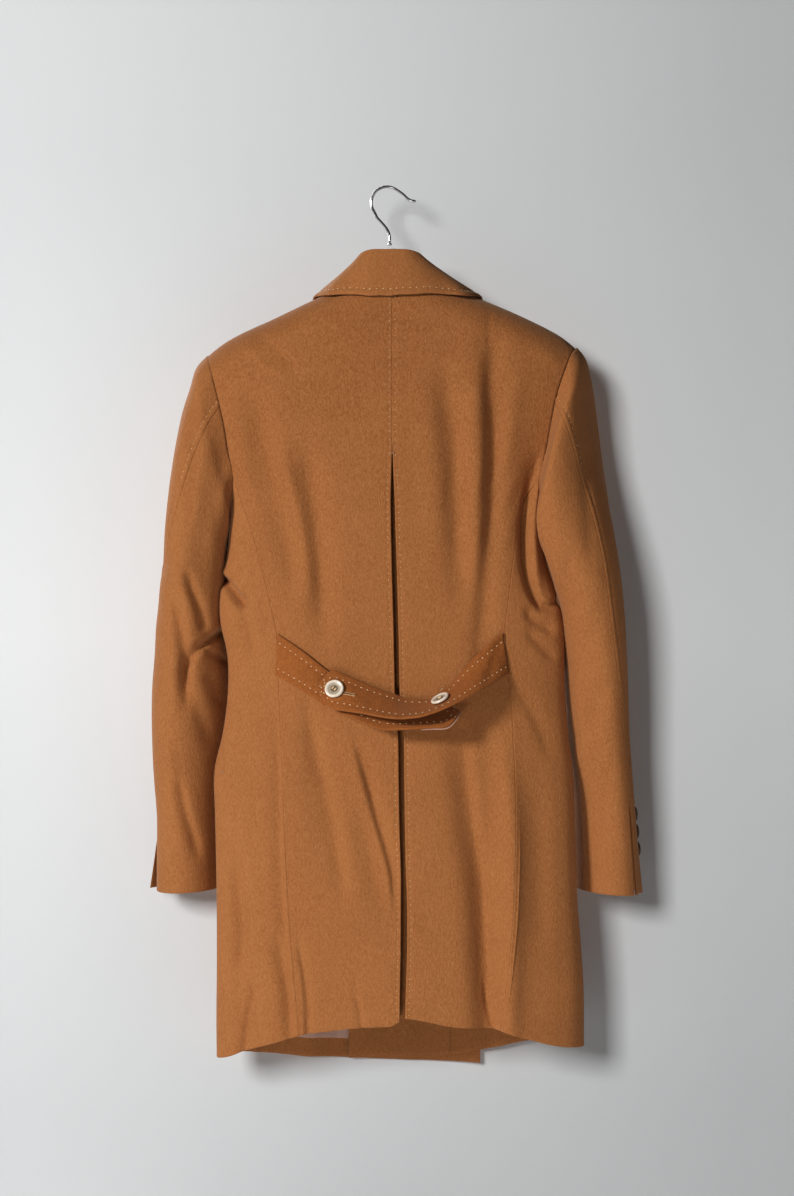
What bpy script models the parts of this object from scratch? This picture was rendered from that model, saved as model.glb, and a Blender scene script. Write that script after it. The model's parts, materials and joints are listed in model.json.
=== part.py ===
"""Wool overcoat on a hanger, double-breasted, with an inverted back pleat and a half belt.

Metres, +Z up. The origin is the inner crest of the hanger's hook, where a rail bears on it.
The coat's back faces -Y and its fronts face +Y; the wearer's left is -X. The coat hangs closed.
Each sewn piece is a wall of cloth in its own object, 0.3 mm from its neighbours at the seams.
"""
import math

import bpy
import numpy as np
from mathutils import Vector
from mathutils.bvhtree import BVHTree

# ---------------------------------------------------------------- driving sizes (m)
BODY_CLOTH = 0.0022
SLEEVE_CLOTH = 0.0020
COLLAR_CLOTH = 0.0026
BELT_CLOTH = 0.0030
LAPEL_CLOTH = 0.0020
LINING_CLOTH = 0.0012
SEAM_GAP = 0.00034
LAY_GAP = 0.0005

NECK_HALF = 0.072
NECK_DIP = 0.013
NOTCH_Z = -0.357
UNDERARM_DIP = 0.034
CREST_DROP = 0.042
UNDERLAP = 0.0062
PLEAT_TOP_Z = -0.335
PLEAT_BULGE = 0.010
VENT_TOP = 0.80

UPPER_STEPS = 8
SIDE_STEPS = 8
BACK_COLUMNS = 12
FRONT_COLUMNS = 9
PLEAT_COLUMNS = 3
LOWER_ROWS = (0.0, 0.035, 0.085, 0.145, 0.21, 0.28, 0.345, 0.41, 0.48, 0.56, 0.64, 0.72,
              0.80, 0.88, 0.95, 1.0)
SLEEVE_ROWS = (0.0, 0.022, 0.055, 0.10, 0.15, 0.21, 0.275, 0.34, 0.41, 0.48, 0.55, 0.62,
               0.69, 0.75, 0.80, 0.86, 0.93, 1.0)
FINE_STEP = 0.0002
PROBE = 0.02


# ---------------------------------------------------------------- tables
def steady_slopes(places, values):
    """Slopes of a curve that never overshoots its rows."""
    spans = np.diff(places)
    rises = np.diff(values) / spans
    slopes = np.zeros(len(places))
    slopes[0] = rises[0]
    slopes[-1] = rises[-1]
    for i in range(1, len(places) - 1):
        if rises[i - 1] * rises[i] > 0.0:
            first = 2.0 * spans[i] + spans[i - 1]
            second = spans[i] + 2.0 * spans[i - 1]
            slopes[i] = (first + second) / (first / rises[i - 1] + second / rises[i])
    return slopes


class Table:
    """Rows of sizes. The first column is the place; the others are read smoothly between rows."""

    def __init__(self, columns, rows):
        data = np.array(rows, dtype=float)
        data = data[np.argsort(data[:, 0])]
        self.place = data[:, 0]
        self.values = {name: data[:, i] for i, name in enumerate(columns)}
        self.slopes = {name: steady_slopes(self.place, column)
                       for name, column in self.values.items() if name != columns[0]}

    def at(self, name, place):
        place = np.clip(np.asarray(place, dtype=float), self.place[0], self.place[-1])
        i = np.clip(np.searchsorted(self.place, place, side="right") - 1, 0, len(self.place) - 2)
        span = self.place[i + 1] - self.place[i]
        t = (place - self.place[i]) / span
        values = self.values[name]
        slopes = self.slopes[name]
        start = (1 + 2 * t) * (1 - t) ** 2 * values[i] + t * (1 - t) ** 2 * span * slopes[i]
        end = t * t * (3 - 2 * t) * values[i + 1] + t * t * (t - 1) * span * slopes[i + 1]
        return start + end


# widest points at the sides, and the depth of the back and of the fronts, level by level
RING = Table(("z", "left", "right", "side_y", "back_y", "front_y"), [
    (-0.100, -0.246, 0.252, -0.010, -0.060, 0.048),
    (-0.200, -0.246, 0.250, -0.014, -0.068, 0.056),
    (-0.250, -0.234, 0.238, -0.018, -0.074, 0.062),
    (-0.300, -0.220, 0.220, -0.022, -0.078, 0.066),
    (-0.350, -0.203, 0.197, -0.025, -0.080, 0.069),
    (-0.385, -0.189, 0.1855, -0.027, -0.081, 0.070),
    (-0.430, -0.190, 0.1845, -0.028, -0.081, 0.070),
    (-0.475, -0.1975, 0.1945, -0.030, -0.080, 0.069),
    (-0.505, -0.2030, 0.2040, -0.030, -0.079, 0.068),
    (-0.540, -0.2010, 0.2110, -0.030, -0.078, 0.067),
    (-0.577, -0.1948, 0.2108, -0.030, -0.078, 0.066),
    (-0.635, -0.1948, 0.2113, -0.030, -0.079, 0.066),
    (-0.674, -0.2038, 0.2165, -0.030, -0.080, 0.067),
    (-0.712, -0.2104, 0.2200, -0.030, -0.081, 0.069),
    (-0.760, -0.2095, 0.2221, -0.030, -0.083, 0.071),
    (-0.863, -0.2076, 0.2255, -0.030, -0.086, 0.074),
    (-0.944, -0.2076, 0.2324, -0.030, -0.088, 0.076),
    (-1.000, -0.2086, 0.2338, -0.030, -0.089, 0.077),
    (-1.090, -0.2080, 0.2339, -0.030, -0.090, 0.078),
])
BACK_FULLNESS = 2.5
FRONT_FULLNESS = 2.2

# centre of the back: the seam, then the open pleat and half of its width
PLEAT = Table(("z", "x", "half_gap"), [
    (-0.100, 0.0033, 0.0), (-0.325, 0.0033, 0.0), (-0.352, 0.0036, 0.0010),
    (-0.381, 0.0039, 0.0020), (-0.475, 0.0062, 0.0027), (-0.549, 0.0082, 0.0027),
    (-0.614, 0.0095, 0.0027), (-0.667, 0.0137, 0.0031), (-0.740, 0.0146, 0.0031),
    (-0.808, 0.0160, 0.0028), (-0.884, 0.0173, 0.0036), (-0.990, 0.0152, 0.0030),
])

# top line of the shoulders, on the outside of the cloth
CREST = Table(("x", "z", "y"), [
    (-0.2600, -0.2320, 0.004), (-0.2205, -0.2045, 0.004), (-0.1970, -0.1868, 0.003),
    (-0.1343, -0.1570, 0.001), (-0.0945, -0.1382, 0.0), (-0.0720, -0.1280, 0.0),
    (-0.0350, -0.1135, 0.0), (0.0, -0.1065, 0.0), (0.0350, -0.1100, 0.0),
    (0.0720, -0.1215, 0.0), (0.1145, -0.1378, 0.0), (0.1627, -0.1583, 0.001),
    (0.2112, -0.1832, 0.003), (0.2275, -0.1955, 0.004), (0.2600, -0.2200, 0.004),
])
SHOULDER = {-1: (-0.2205, -0.2045), 1: (0.2275, -0.1955)}

# outer edge of each back panel: armhole, then the curved seam to the hem
BACK_EDGE = {
    -1: Table(("z", "x"), [
        (-0.2045, -0.2205), (-0.2343, -0.2115), (-0.2696, -0.2022), (-0.3031, -0.1951),
        (-0.3300, -0.1910), (-0.3570, -0.1845), (-0.3980, -0.1685), (-0.4382, -0.1568),
        (-0.5043, -0.1403), (-0.5409, -0.1328), (-0.5964, -0.1312), (-0.7453, -0.1246),
        (-0.8563, -0.1188), (-0.9354, -0.1125), (-1.0146, -0.1054)]),
    1: Table(("z", "x"), [
        (-0.1955, 0.2275), (-0.2025, 0.2200), (-0.2217, 0.2111), (-0.2397, 0.2042),
        (-0.2624, 0.1972), (-0.2996, 0.1900), (-0.3300, 0.1845), (-0.3570, 0.1775),
        (-0.3838, 0.1640), (-0.4299, 0.1503), (-0.4760, 0.1445), (-0.5409, 0.1367),
        (-0.6201, 0.1440), (-0.7382, 0.1480), (-0.8563, 0.1450), (-1.0099, 0.1308)]),
}

# outer edge of each front: armhole, then the side seam
FRONT_EDGE = {
    -1: Table(("z", "x"), [
        (-0.2045, -0.2205), (-0.2400, -0.2030), (-0.2800, -0.1900), (-0.3200, -0.1830),
        (-0.3570, -0.1800), (-0.4200, -0.1720), (-0.6000, -0.1650), (-0.8000, -0.1700),
        (-1.0600, -0.1660)]),
    1: Table(("z", "x"), [
        (-0.1955, 0.2275), (-0.2400, 0.2050), (-0.2800, 0.1900), (-0.3200, 0.1800),
        (-0.3570, 0.1740), (-0.4200, 0.1640), (-0.6000, 0.1720), (-0.8000, 0.1800),
        (-1.0600, 0.1800)]),
}

# inner edge of each front: fold of the lapel, then the straight closing edge
CLOSING_EDGE = {
    -1: Table(("z", "x"), [
        (-0.1280, -0.0720), (-0.1500, -0.0660), (-0.1900, -0.0490), (-0.2500, -0.0170),
        (-0.3500, 0.0400), (-0.4400, 0.0930), (-0.4750, 0.1100), (-0.5200, 0.1135),
        (-1.0900, 0.1138)]),
    1: Table(("z", "x"), [
        (-0.1215, 0.0720), (-0.1450, 0.0700), (-0.1900, 0.0640), (-0.2500, 0.0440),
        (-0.3500, 0.0020), (-0.4400, -0.0380), (-0.4750, -0.0500), (-0.5200, -0.0522),
        (-1.0900, -0.0525)]),
}

BACK_HEM = Table(("x", "z"), [
    (-0.2085, -1.0500), (-0.1795, -1.0400), (-0.1587, -1.0300), (-0.1280, -1.0216),
    (-0.1041, -1.0130), (-0.0683, -1.0074), (-0.0283, -1.0032), (0.0040, -1.0015),
    (0.0120, -0.9965), (0.0180, -0.9925), (0.0431, -0.9962), (0.0701, -1.0020),
    (0.1159, -1.0067), (0.1485, -1.0122), (0.1645, -1.0190), (0.1792, -1.0245),
    (0.2002, -1.0300), (0.2350, -1.0362),
])
FRONT_HEM = {
    -1: Table(("x", "z"), [
        (-0.2085, -1.0500), (-0.1830, -1.0585), (-0.0930, -1.0743), (0.0, -1.0810),
        (0.1150, -1.0836)]),
    1: Table(("x", "z"), [
        (-0.0530, -1.0774), (0.0444, -1.0774), (0.0942, -1.0700), (0.1433, -1.0580),
        (0.1900, -1.0460), (0.2350, -1.0362)]),
}

# the largest folds: side of the cloth, three points down its line, depth (+ is a trough), width
FOLD_COLUMNS = ("face", "z0", "x0", "z1", "x1", "z2", "x2", "depth", "width")
FOLDS = [
    (-1, -0.150, 0.121, -0.250, 0.125, -0.470, 0.117, 0.0060, 0.014),
    (-1, -0.170, 0.098, -0.300, 0.103, -0.520, 0.096, -0.0035, 0.016),
    (-1, -0.200, 0.063, -0.320, 0.076, -0.530, 0.085, 0.0030, 0.014),
    (-1, -0.230, 0.176, -0.390, 0.160, -0.530, 0.178, 0.0060, 0.015),
    (-1, -0.600, 0.110, -0.800, 0.116, -1.010, 0.118, 0.0080, 0.018),
    (-1, -0.620, 0.145, -0.850, 0.142, -1.010, 0.140, -0.0050, 0.018),
    (-1, -0.700, -0.036, -0.800, -0.018, -0.900, 0.004, 0.0050, 0.016),
    (-1, -0.260, -0.168, -0.370, -0.148, -0.500, -0.120, 0.0040, 0.016),
    (-1, -0.420, -0.104, -0.480, -0.090, -0.560, -0.078, 0.0035, 0.016),
    (-1, -0.600, -0.098, -0.720, -0.084, -0.850, -0.070, 0.0045, 0.018),
    (-1, -0.840, -0.182, -0.960, -0.180, -1.060, -0.176, 0.0060, 0.018),
    (1, -0.230, -0.120, -0.420, -0.135, -0.640, -0.120, 0.0035, 0.024),
    (1, -0.240, 0.125, -0.430, 0.130, -0.620, 0.120, 0.0035, 0.024),
    (1, -0.620, -0.090, -0.830, -0.100, -1.060, -0.105, 0.0050, 0.024),
    (1, -0.640, 0.120, -0.850, 0.135, -1.050, 0.140, 0.0050, 0.024),
]

# sleeves from the armhole (v 0) to the cuff (v 1): reach of the outer and inner line, lean of the
# section (back part inwards), centre and half of the depth, and the line of the elbow seam
SLEEVE_COLUMNS = ("v", "outer_x", "inner_x", "lean", "mid_y", "half_y", "elbow")
SLEEVE = {
    -1: Table(SLEEVE_COLUMNS, [
        (0.000, -0.2205, -0.1895, 0.000, -0.012, 0.044, 75.0),
        (0.022, -0.2345, -0.1945, 0.000, -0.010, 0.052, 74.0),
        (0.050, -0.2412, -0.1960, 0.000, -0.008, 0.060, 72.0),
        (0.100, -0.2508, -0.1985, -0.002, -0.006, 0.068, 66.0),
        (0.180, -0.2608, -0.1990, -0.006, -0.004, 0.075, 50.0),
        (0.290, -0.2688, -0.1965, -0.012, -0.001, 0.076, 22.0),
        (0.360, -0.2722, -0.1930, -0.014, 0.002, 0.074, 2.0),
        (0.450, -0.2792, -0.1925, -0.014, 0.006, 0.070, -6.0),
        (0.550, -0.2846, -0.1930, -0.014, 0.012, 0.066, -8.0),
        (0.670, -0.2906, -0.1990, -0.012, 0.019, 0.061, -8.0),
        (0.760, -0.2896, -0.2015, -0.010, 0.024, 0.057, -7.0),
        (0.870, -0.2852, -0.2025, -0.008, 0.027, 0.054, -6.0),
        (1.000, -0.2862, -0.2035, -0.006, 0.028, 0.051, -4.0)]),
    1: Table(SLEEVE_COLUMNS, [
        (0.000, 0.2275, 0.1850, 0.004, -0.012, 0.044, 75.0),
        (0.022, 0.2405, 0.1870, 0.010, -0.017, 0.052, 72.0),
        (0.050, 0.2472, 0.1845, 0.016, -0.020, 0.060, 68.0),
        (0.092, 0.2540, 0.1812, 0.024, -0.022, 0.068, 62.0),
        (0.138, 0.2588, 0.1852, 0.027, -0.022, 0.073, 56.0),
        (0.210, 0.2638, 0.1952, 0.024, -0.021, 0.075, 50.0),
        (0.311, 0.2695, 0.2120, 0.008, -0.017, 0.075, 45.0),
        (0.375, 0.2745, 0.2125, -0.004, -0.013, 0.073, 42.0),
        (0.450, 0.2806, 0.2120, -0.010, -0.009, 0.070, 38.0),
        (0.595, 0.2871, 0.2150, -0.012, -0.002, 0.064, 32.0),
        (0.750, 0.2922, 0.2225, -0.012, 0.005, 0.058, 27.0),
        (0.900, 0.3000, 0.2250, -0.011, 0.009, 0.054, 22.0),
        (1.000, 0.3040, 0.2265, -0.010, 0.010, 0.051, 18.0)]),
}
UNDERARM_END_Z = -0.8546
CUFF_END_Z = -0.8581
FRONT_SEAM_ANGLE = 248.0
ARMHOLE_BLEND = 0.30
VENT_ANGLE = 5.5
CUFF_FLARE = {-1: 0.0095, 1: 0.0060}

# collar, half of it from the centre back (s 0) to the front end (s 1): its fold, the outer edge
# (drop below the shoulders' line and distance off the cloth) and the seam at the neck
COLLAR = Table(("s", "fold_x", "fold_y", "fold_z", "edge_x", "edge_drop", "edge_off",
                "seam_x", "seam_y", "seam_z"), [
    (0.00, 0.0000, -0.0500, -0.0830, 0.0000, 0.0385, 0.0050, 0.0000, -0.0460, -0.1150),
    (0.20, 0.0190, -0.0490, -0.0830, 0.0250, 0.0340, 0.0050, 0.0250, -0.0430, -0.1150),
    (0.36, 0.0315, -0.0420, -0.0845, 0.0550, 0.0215, 0.0050, 0.0470, -0.0310, -0.1155),
    (0.50, 0.0410, -0.0260, -0.0895, 0.0800, 0.0110, 0.0110, 0.0610, -0.0150, -0.1160),
    (0.60, 0.0480, -0.0100, -0.0960, 0.0950, 0.0010, 0.0130, 0.0645, 0.0, -0.1165),
    (0.67, 0.0510, 0.0000, -0.1010, 0.1030, -0.0050, 0.0030, 0.0650, 0.0100, -0.1200),
    (0.78, 0.0540, 0.0280, -0.1110, 0.1030, 0.0080, 0.0140, 0.0655, 0.0260, -0.1320),
    (0.90, 0.0520, 0.0520, -0.1320, 0.0980, 0.0400, 0.0100, 0.0600, 0.0420, -0.1480),
    (1.00, 0.0480, 0.0680, -0.1500, 0.0900, 0.0650, 0.0100, 0.0540, 0.0540, -0.1640),
])
COLLAR_SHIFT = 0.0098
COLLAR_CREST = 0.665
COLLAR_ROWS = (0.0, 0.12, 0.35, 0.62, 0.84, 1.0)
COLLAR_HALF = np.array([0.0, 0.1, 0.2, 0.3, 0.4, 0.5, 0.6, 0.67, 0.78, 0.9, 1.0])
COLLAR_SHARES = np.concatenate([-COLLAR_HALF[:0:-1], COLLAR_HALF])

# half belt: each tab from its seam to its free end, with how far each edge stands off the back
BELT_COLUMNS = ("u", "top_x", "top_z", "top_off", "low_x", "low_z", "low_off")
BELT = {
    "belt_tab_right": Table(BELT_COLUMNS, [
        (0.0, 0.1340, -0.5405, 0.0038, 0.1410, -0.5892, 0.0038),
        (1.0, 0.1180, -0.5520, 0.0075, 0.1290, -0.5950, 0.0180),
        (2.0, 0.0903, -0.5776, 0.0090, 0.0991, -0.6088, 0.0440),
        (3.0, 0.0682, -0.6040, 0.0090, 0.0690, -0.6225, 0.0550),
        (4.0, 0.0481, -0.6170, 0.0090, 0.0395, -0.6329, 0.0560),
        (5.0, 0.0240, -0.6155, 0.0090, 0.0101, -0.6369, 0.0530),
        (6.0, 0.0057, -0.6111, 0.0100, -0.0100, -0.6350, 0.0500),
        (7.0, -0.0304, -0.5973, 0.0120, -0.0297, -0.6321, 0.0450),
        (8.0, -0.0665, -0.5834, 0.0130, -0.0690, -0.6270, 0.0330),
        (9.0, -0.0740, -0.5893, 0.0150, -0.0775, -0.6180, 0.0270),
        (10.0, -0.0846, -0.5985, 0.0185, -0.0846, -0.6030, 0.0200)]),
    "belt_tab_left": Table(BELT_COLUMNS, [
        (0.0, -0.1316, -0.5418, 0.0038, -0.1355, -0.5909, 0.0038),
        (1.0, -0.1000, -0.5630, 0.0055, -0.1060, -0.6070, 0.0120),
        (2.0, -0.0712, -0.5850, 0.0060, -0.0754, -0.6250, 0.0210),
        (3.0, -0.0400, -0.6020, 0.0060, -0.0380, -0.6410, 0.0310),
        (4.0, 0.0000, -0.6190, 0.0050, -0.0057, -0.6513, 0.0370),
        (5.0, 0.0250, -0.6240, 0.0050, 0.0250, -0.6500, 0.0400),
        (6.0, 0.0600, -0.6220, 0.0050, 0.0690, -0.6455, 0.0400),
        (7.0, 0.0720, -0.6240, 0.0120, 0.0800, -0.6300, 0.0300)]),
}
BELT_BUTTONS = {"belt_button_1": (7.88, 0.50), "belt_button_2": (3.35, 0.50)}
BELT_ROWS = 3

# lapels: fold point and outer edge point, from the closing button (s 0) to the gorge (s 1)
LAPEL = Table(("s", "fold_z", "reach", "rise"), [
    (0.00, -0.462, 0.006, 0.002), (0.15, -0.425, 0.030, 0.012), (0.35, -0.375, 0.058, 0.022),
    (0.55, -0.325, 0.080, 0.030), (0.75, -0.275, 0.096, 0.034), (0.90, -0.238, 0.104, 0.036),
    (1.00, -0.212, 0.082, 0.010),
])
LAPEL_COLUMNS = 6

FRONT_BUTTONS = [(x, z) for z in (-0.500, -0.610, -0.720) for x in (-0.0250, 0.0870)]
CUFF_BUTTONS = (0.857, 0.890, 0.923)
CUFF_BUTTON_BEHIND = 19.0
# radius, height and sides of each kind of button
FRONT_BUTTON = (0.0125, 0.0042, 12)
CUFF_BUTTON = (0.0095, 0.0036, 12)
BELT_BUTTON = (0.0112, 0.0038, 18)
FLAP_ANGLES = {-1: (114.0, 150.0), 1: (114.0, 150.0)}
FLAP_TOP_Z = -0.706
FLAP_DROP = 0.055
HEM_BAND = 0.150
LINING_LIFT = 0.024

HOOK_WIRE = 0.00165
HOOK_RADIUS = 0.0193
HOOK_CENTRE_X = -0.0030
HANGER = Table(("x", "up", "down", "half_y"), [
    (0.0, 0.0398, 0.028, 0.0085), (0.0110, 0.0388, 0.028, 0.0085),
    (0.0145, 0.0250, 0.028, 0.0085), (0.0200, 0.0060, 0.027, 0.0080),
    (0.0280, 0.0008, 0.026, 0.0075), (0.0720, 0.0, 0.025, 0.0070),
    (0.1400, 0.0, 0.022, 0.0070), (0.1900, 0.0, 0.018, 0.0065), (0.2080, -0.0040, 0.012, 0.0055),
])

# ---------------------------------------------------------------- materials
COLOURS = {
    "wool": ((0.430, 0.210, 0.085, 1.0), 0.92, 0.0),
    "belt_wool": ((0.360, 0.160, 0.060, 1.0), 0.92, 0.0),
    "satin": ((0.330, 0.180, 0.130, 1.0), 0.45, 0.0),
    "light_horn": ((0.780, 0.720, 0.620, 1.0), 0.35, 0.0),
    "dark_horn": ((0.045, 0.030, 0.022, 1.0), 0.30, 0.0),
    "white_lacquer": ((0.860, 0.850, 0.860, 1.0), 0.30, 0.0),
    "chrome": ((0.780, 0.780, 0.790, 1.0), 0.12, 1.0),
}


def make_material(name):
    colour, roughness, metallic = COLOURS[name]
    material = bpy.data.materials.new(name)
    material.use_nodes = True
    shader = material.node_tree.nodes["Principled BSDF"]
    shader.inputs["Base Color"].default_value = colour
    shader.inputs["Roughness"].default_value = roughness
    shader.inputs["Metallic"].default_value = metallic
    return material


def signed_volume(points, faces):
    """Volume of a closed body, negative when its faces look inwards."""
    points = np.array(points, dtype=float)
    middle = points.mean(axis=0)
    volume = 0.0
    for face in faces:
        corners = points[list(face)] - middle
        for k in range(1, len(face) - 1):
            volume += float(np.dot(corners[0], np.cross(corners[k], corners[k + 1])))
    return volume


def add_object(name, points, faces, material):
    if signed_volume(points, faces) < 0.0:
        faces = [tuple(reversed(face)) for face in faces]
    mesh = bpy.data.meshes.new(name)
    mesh.from_pydata([tuple(map(float, point)) for point in points], [], faces)
    mesh.materials.append(material)
    mesh.validate()
    mesh.shade_smooth()
    mesh.set_sharp_from_angle(angle=math.radians(40.0))
    piece = bpy.data.objects.new(name, mesh)
    bpy.context.collection.objects.link(piece)
    return piece


# ---------------------------------------------------------------- walls of cloth
def unit(vectors):
    length = np.linalg.norm(vectors, axis=-1, keepdims=True)
    return vectors / np.maximum(length, 1e-12)


def trim(grid, sides, gap=SEAM_GAP):
    """Draw the named edges of a grid of points in by half the gap of a seam."""
    grid = grid.copy()
    half = gap / 2.0
    if "left" in sides:
        grid[:, 0] += half * unit(grid[:, 1] - grid[:, 0])
    if "right" in sides:
        grid[:, -1] += half * unit(grid[:, -2] - grid[:, -1])
    if "top" in sides:
        grid[0] += half * unit(grid[1] - grid[0])
    if "bottom" in sides:
        grid[-1] += half * unit(grid[-2] - grid[-1])
    return grid


def wall(name, outer, inner, material):
    """One closed wall between two grids of points, rows by columns."""
    rows, columns = outer.shape[:2]
    count = rows * columns
    points = np.concatenate([outer.reshape(-1, 3), inner.reshape(-1, 3)])
    index = np.arange(count).reshape(rows, columns)
    faces = []
    for r in range(rows - 1):
        for c in range(columns - 1):
            quad = [int(index[r, c]), int(index[r + 1, c]), int(index[r + 1, c + 1]),
                    int(index[r, c + 1])]
            one = np.linalg.norm(points[quad[0]] - points[quad[2]])
            other = np.linalg.norm(points[quad[1]] - points[quad[3]])
            if other < one:
                quad = quad[1:] + quad[:1]
            for corners in ((quad[0], quad[1], quad[2]), (quad[0], quad[2], quad[3])):
                faces.append(corners)
                faces.append(tuple(i + count for i in reversed(corners)))
    border = [index[0, c] for c in range(columns - 1)]
    border += [index[r, columns - 1] for r in range(rows - 1)]
    border += [index[rows - 1, c] for c in range(columns - 1, 0, -1)]
    border += [index[r, 0] for r in range(rows - 1, 0, -1)]
    for i, start in enumerate(border):
        start = int(start)
        end = int(border[(i + 1) % len(border)])
        if start < end:
            faces.append((start, end, end + count))
            faces.append((start, end + count, start + count))
        else:
            faces.append((start, end, start + count))
            faces.append((end, end + count, start + count))
    return add_object(name, points, faces, material)


def grid_normals(grid, outward):
    """Normals of a grid of points, turned to the side of a rough outward direction."""
    along = np.gradient(grid, axis=0)
    across = np.gradient(grid, axis=1)
    normals = unit(np.cross(along, across))
    turn = np.sign(np.sum(normals * outward, axis=-1, keepdims=True))
    return normals * np.where(turn == 0.0, 1.0, turn)


def surface_of(names):
    """What a piece is laid on: the faces of the named objects."""
    points = []
    faces = []
    for name in names:
        mesh = bpy.data.objects[name].data
        first = len(points)
        points += [vertex.co.copy() for vertex in mesh.vertices]
        faces += [tuple(first + i for i in polygon.vertices) for polygon in mesh.polygons]
    return BVHTree.FromPolygons(points, faces)


def clearance(surface, point, normal):
    """How far a point stands over a surface, along the normal."""
    start = Vector(point + normal * PROBE)
    place = surface.ray_cast(start, Vector(-normal), 2.0 * PROBE)[0]
    if place is None:
        return None
    return (start - place).length - PROBE


def lay_on(surface, grid, normals, gap):
    """Move the points of a grid along their normals to a steady gap over a surface."""
    laid = grid.copy()
    for place in np.ndindex(grid.shape[:2]):
        height = clearance(surface, grid[place], normals[place])
        if height is not None:
            laid[place] = grid[place] + normals[place] * (gap - height)
    return laid


# ---------------------------------------------------------------- the body's surface
def fold_shift(x, z, face):
    """How far the folds push the cloth inwards at a place on the back (-1) or the fronts (1)."""
    shift = np.zeros(np.broadcast(x, z).shape)
    for row in FOLDS:
        fold = dict(zip(FOLD_COLUMNS, row))
        if fold["face"] != face:
            continue
        line = Table(("z", "x"), [(fold["z0"], fold["x0"]), (fold["z1"], fold["x1"]),
                                  (fold["z2"], fold["x2"])])
        run = np.clip((fold["z0"] - z) / (fold["z0"] - fold["z2"]), 0.0, 1.0)
        if fold["z2"] < -1.0:
            strength = np.sin(np.clip(run * 1.4, 0.0, 1.0) * math.pi / 2.0)
        else:
            strength = np.sin(run * math.pi)
        across = (x - line.at("x", z)) / fold["width"]
        shift += fold["depth"] * strength * np.exp(-across * across)
    return shift


def body_y(x, z, face):
    """Depth of the body's outer surface on its back (face -1) or its fronts (face 1)."""
    centre = PLEAT.at("x", z)
    reach = np.where(x < centre, centre - RING.at("left", z), RING.at("right", z) - centre)
    side = RING.at("side_y", z)
    if face < 0:
        fullness = BACK_FULLNESS
        depth = side - RING.at("back_y", z)
    else:
        fullness = FRONT_FULLNESS
        depth = RING.at("front_y", z) - side
    across = np.clip(np.abs(x - centre) / reach, 0.0, 1.0)
    full = side + face * depth * (1.0 - across ** fullness) ** (1.0 / fullness)
    drop = np.clip(CREST.at("z", x) - z, 0.0, CREST_DROP) / CREST_DROP
    roll = np.sqrt(1.0 - (1.0 - drop) ** 2)
    fade = 1.0 - np.clip((across - 0.86) / 0.14, 0.0, 1.0)
    depth_now = full - face * fold_shift(x, z, face) * fade
    return CREST.at("y", x) * (1.0 - roll) + depth_now * roll


def body_point(x, z, face):
    return np.stack(np.broadcast_arrays(x, body_y(x, z, face), z), axis=-1)


def ring_angle(x, z, side, face):
    """Angle round the body, 0 at the centre back and 180 at the centre front, of a place."""
    centre = PLEAT.at("x", z)
    reach = side * (RING.at("left" if side < 0 else "right", z) - centre)
    fullness = BACK_FULLNESS if face < 0 else FRONT_FULLNESS
    share = np.clip(side * (x - centre) / reach, 0.0, 1.0) ** (fullness / 2.0)
    angle = np.degrees(np.arcsin(share))
    return angle if face < 0 else 180.0 - angle


def side_point(angle, z, side):
    """A point of the body's surface by its angle round the body."""
    centre = PLEAT.at("x", z)
    reach = RING.at("left" if side < 0 else "right", z) - centre
    turn = np.radians(angle)
    fullness = np.where(angle < 90.0, BACK_FULLNESS, FRONT_FULLNESS)
    share = np.sin(turn) ** (2.0 / fullness)
    x = centre + reach * share
    side_y = RING.at("side_y", z)
    back = RING.at("back_y", z)
    front = RING.at("front_y", z)
    depth = np.where(angle < 90.0, back - side_y, front - side_y)
    y = side_y + depth * np.abs(np.cos(turn)) ** (2.0 / fullness)
    fade = 1.0 - np.clip((share - 0.86) / 0.14, 0.0, 1.0)
    y = y + np.where(angle < 90.0, fold_shift(x, z, -1), -fold_shift(x, z, 1)) * fade
    return np.stack(np.broadcast_arrays(x, y, z), axis=-1)


def face_normals(x, z, face):
    """Outward normals of the back or the fronts."""
    top = CREST.at("z", x)
    above = np.minimum(z + FINE_STEP, top)
    below = above - 2.0 * FINE_STEP
    along = body_point(x, below, face) - body_point(x, above, face)
    across = body_point(x + FINE_STEP, z, face) - body_point(x - FINE_STEP, z, face)
    return face * unit(np.cross(across, along))


def round_normals(angle, z, side):
    """Outward normals of the sides, by the angle round the body."""
    step = 0.05
    across = side_point(angle + step, z, side) - side_point(angle - step, z, side)
    along = side_point(angle, z - FINE_STEP, side) - side_point(angle, z + FINE_STEP, side)
    return -side * unit(np.cross(across, along))


# ---------------------------------------------------------------- panels of the body
def upper_shares():
    """Shares of the way up from the notch of the armhole to the shoulder, closer at the top."""
    steps = np.arange(UPPER_STEPS, 0, -1) / UPPER_STEPS
    return np.sin(steps * math.pi / 2.0)


def panel_places(share, inner_edge, outer_edge, top, hem_z):
    """Places (x, z) of a panel's grid: rows from its top edge to its hem, columns by share."""
    top_x, top_z = top
    slack = top_x - inner_edge(top_z) - share * (outer_edge(top_z) - inner_edge(top_z))
    xs = []
    zs = []
    for up in upper_shares():
        z = NOTCH_Z + (top_z - NOTCH_Z) * up
        across = inner_edge(z) + share * (outer_edge(z) - inner_edge(z))
        xs.append(across + slack * up ** 8)
        zs.append(z)
    for down in LOWER_ROWS:
        z = NOTCH_Z + (hem_z - NOTCH_Z) * down
        xs.append(inner_edge(z) + share * (outer_edge(z) - inner_edge(z)))
        zs.append(z)
    return np.array(xs), np.array(zs)


def back_edges(side):
    def inner_edge(z):
        return PLEAT.at("x", z) + side * PLEAT.at("half_gap", z)

    def outer_edge(z):
        return BACK_EDGE[side].at("x", z)

    return inner_edge, outer_edge


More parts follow.
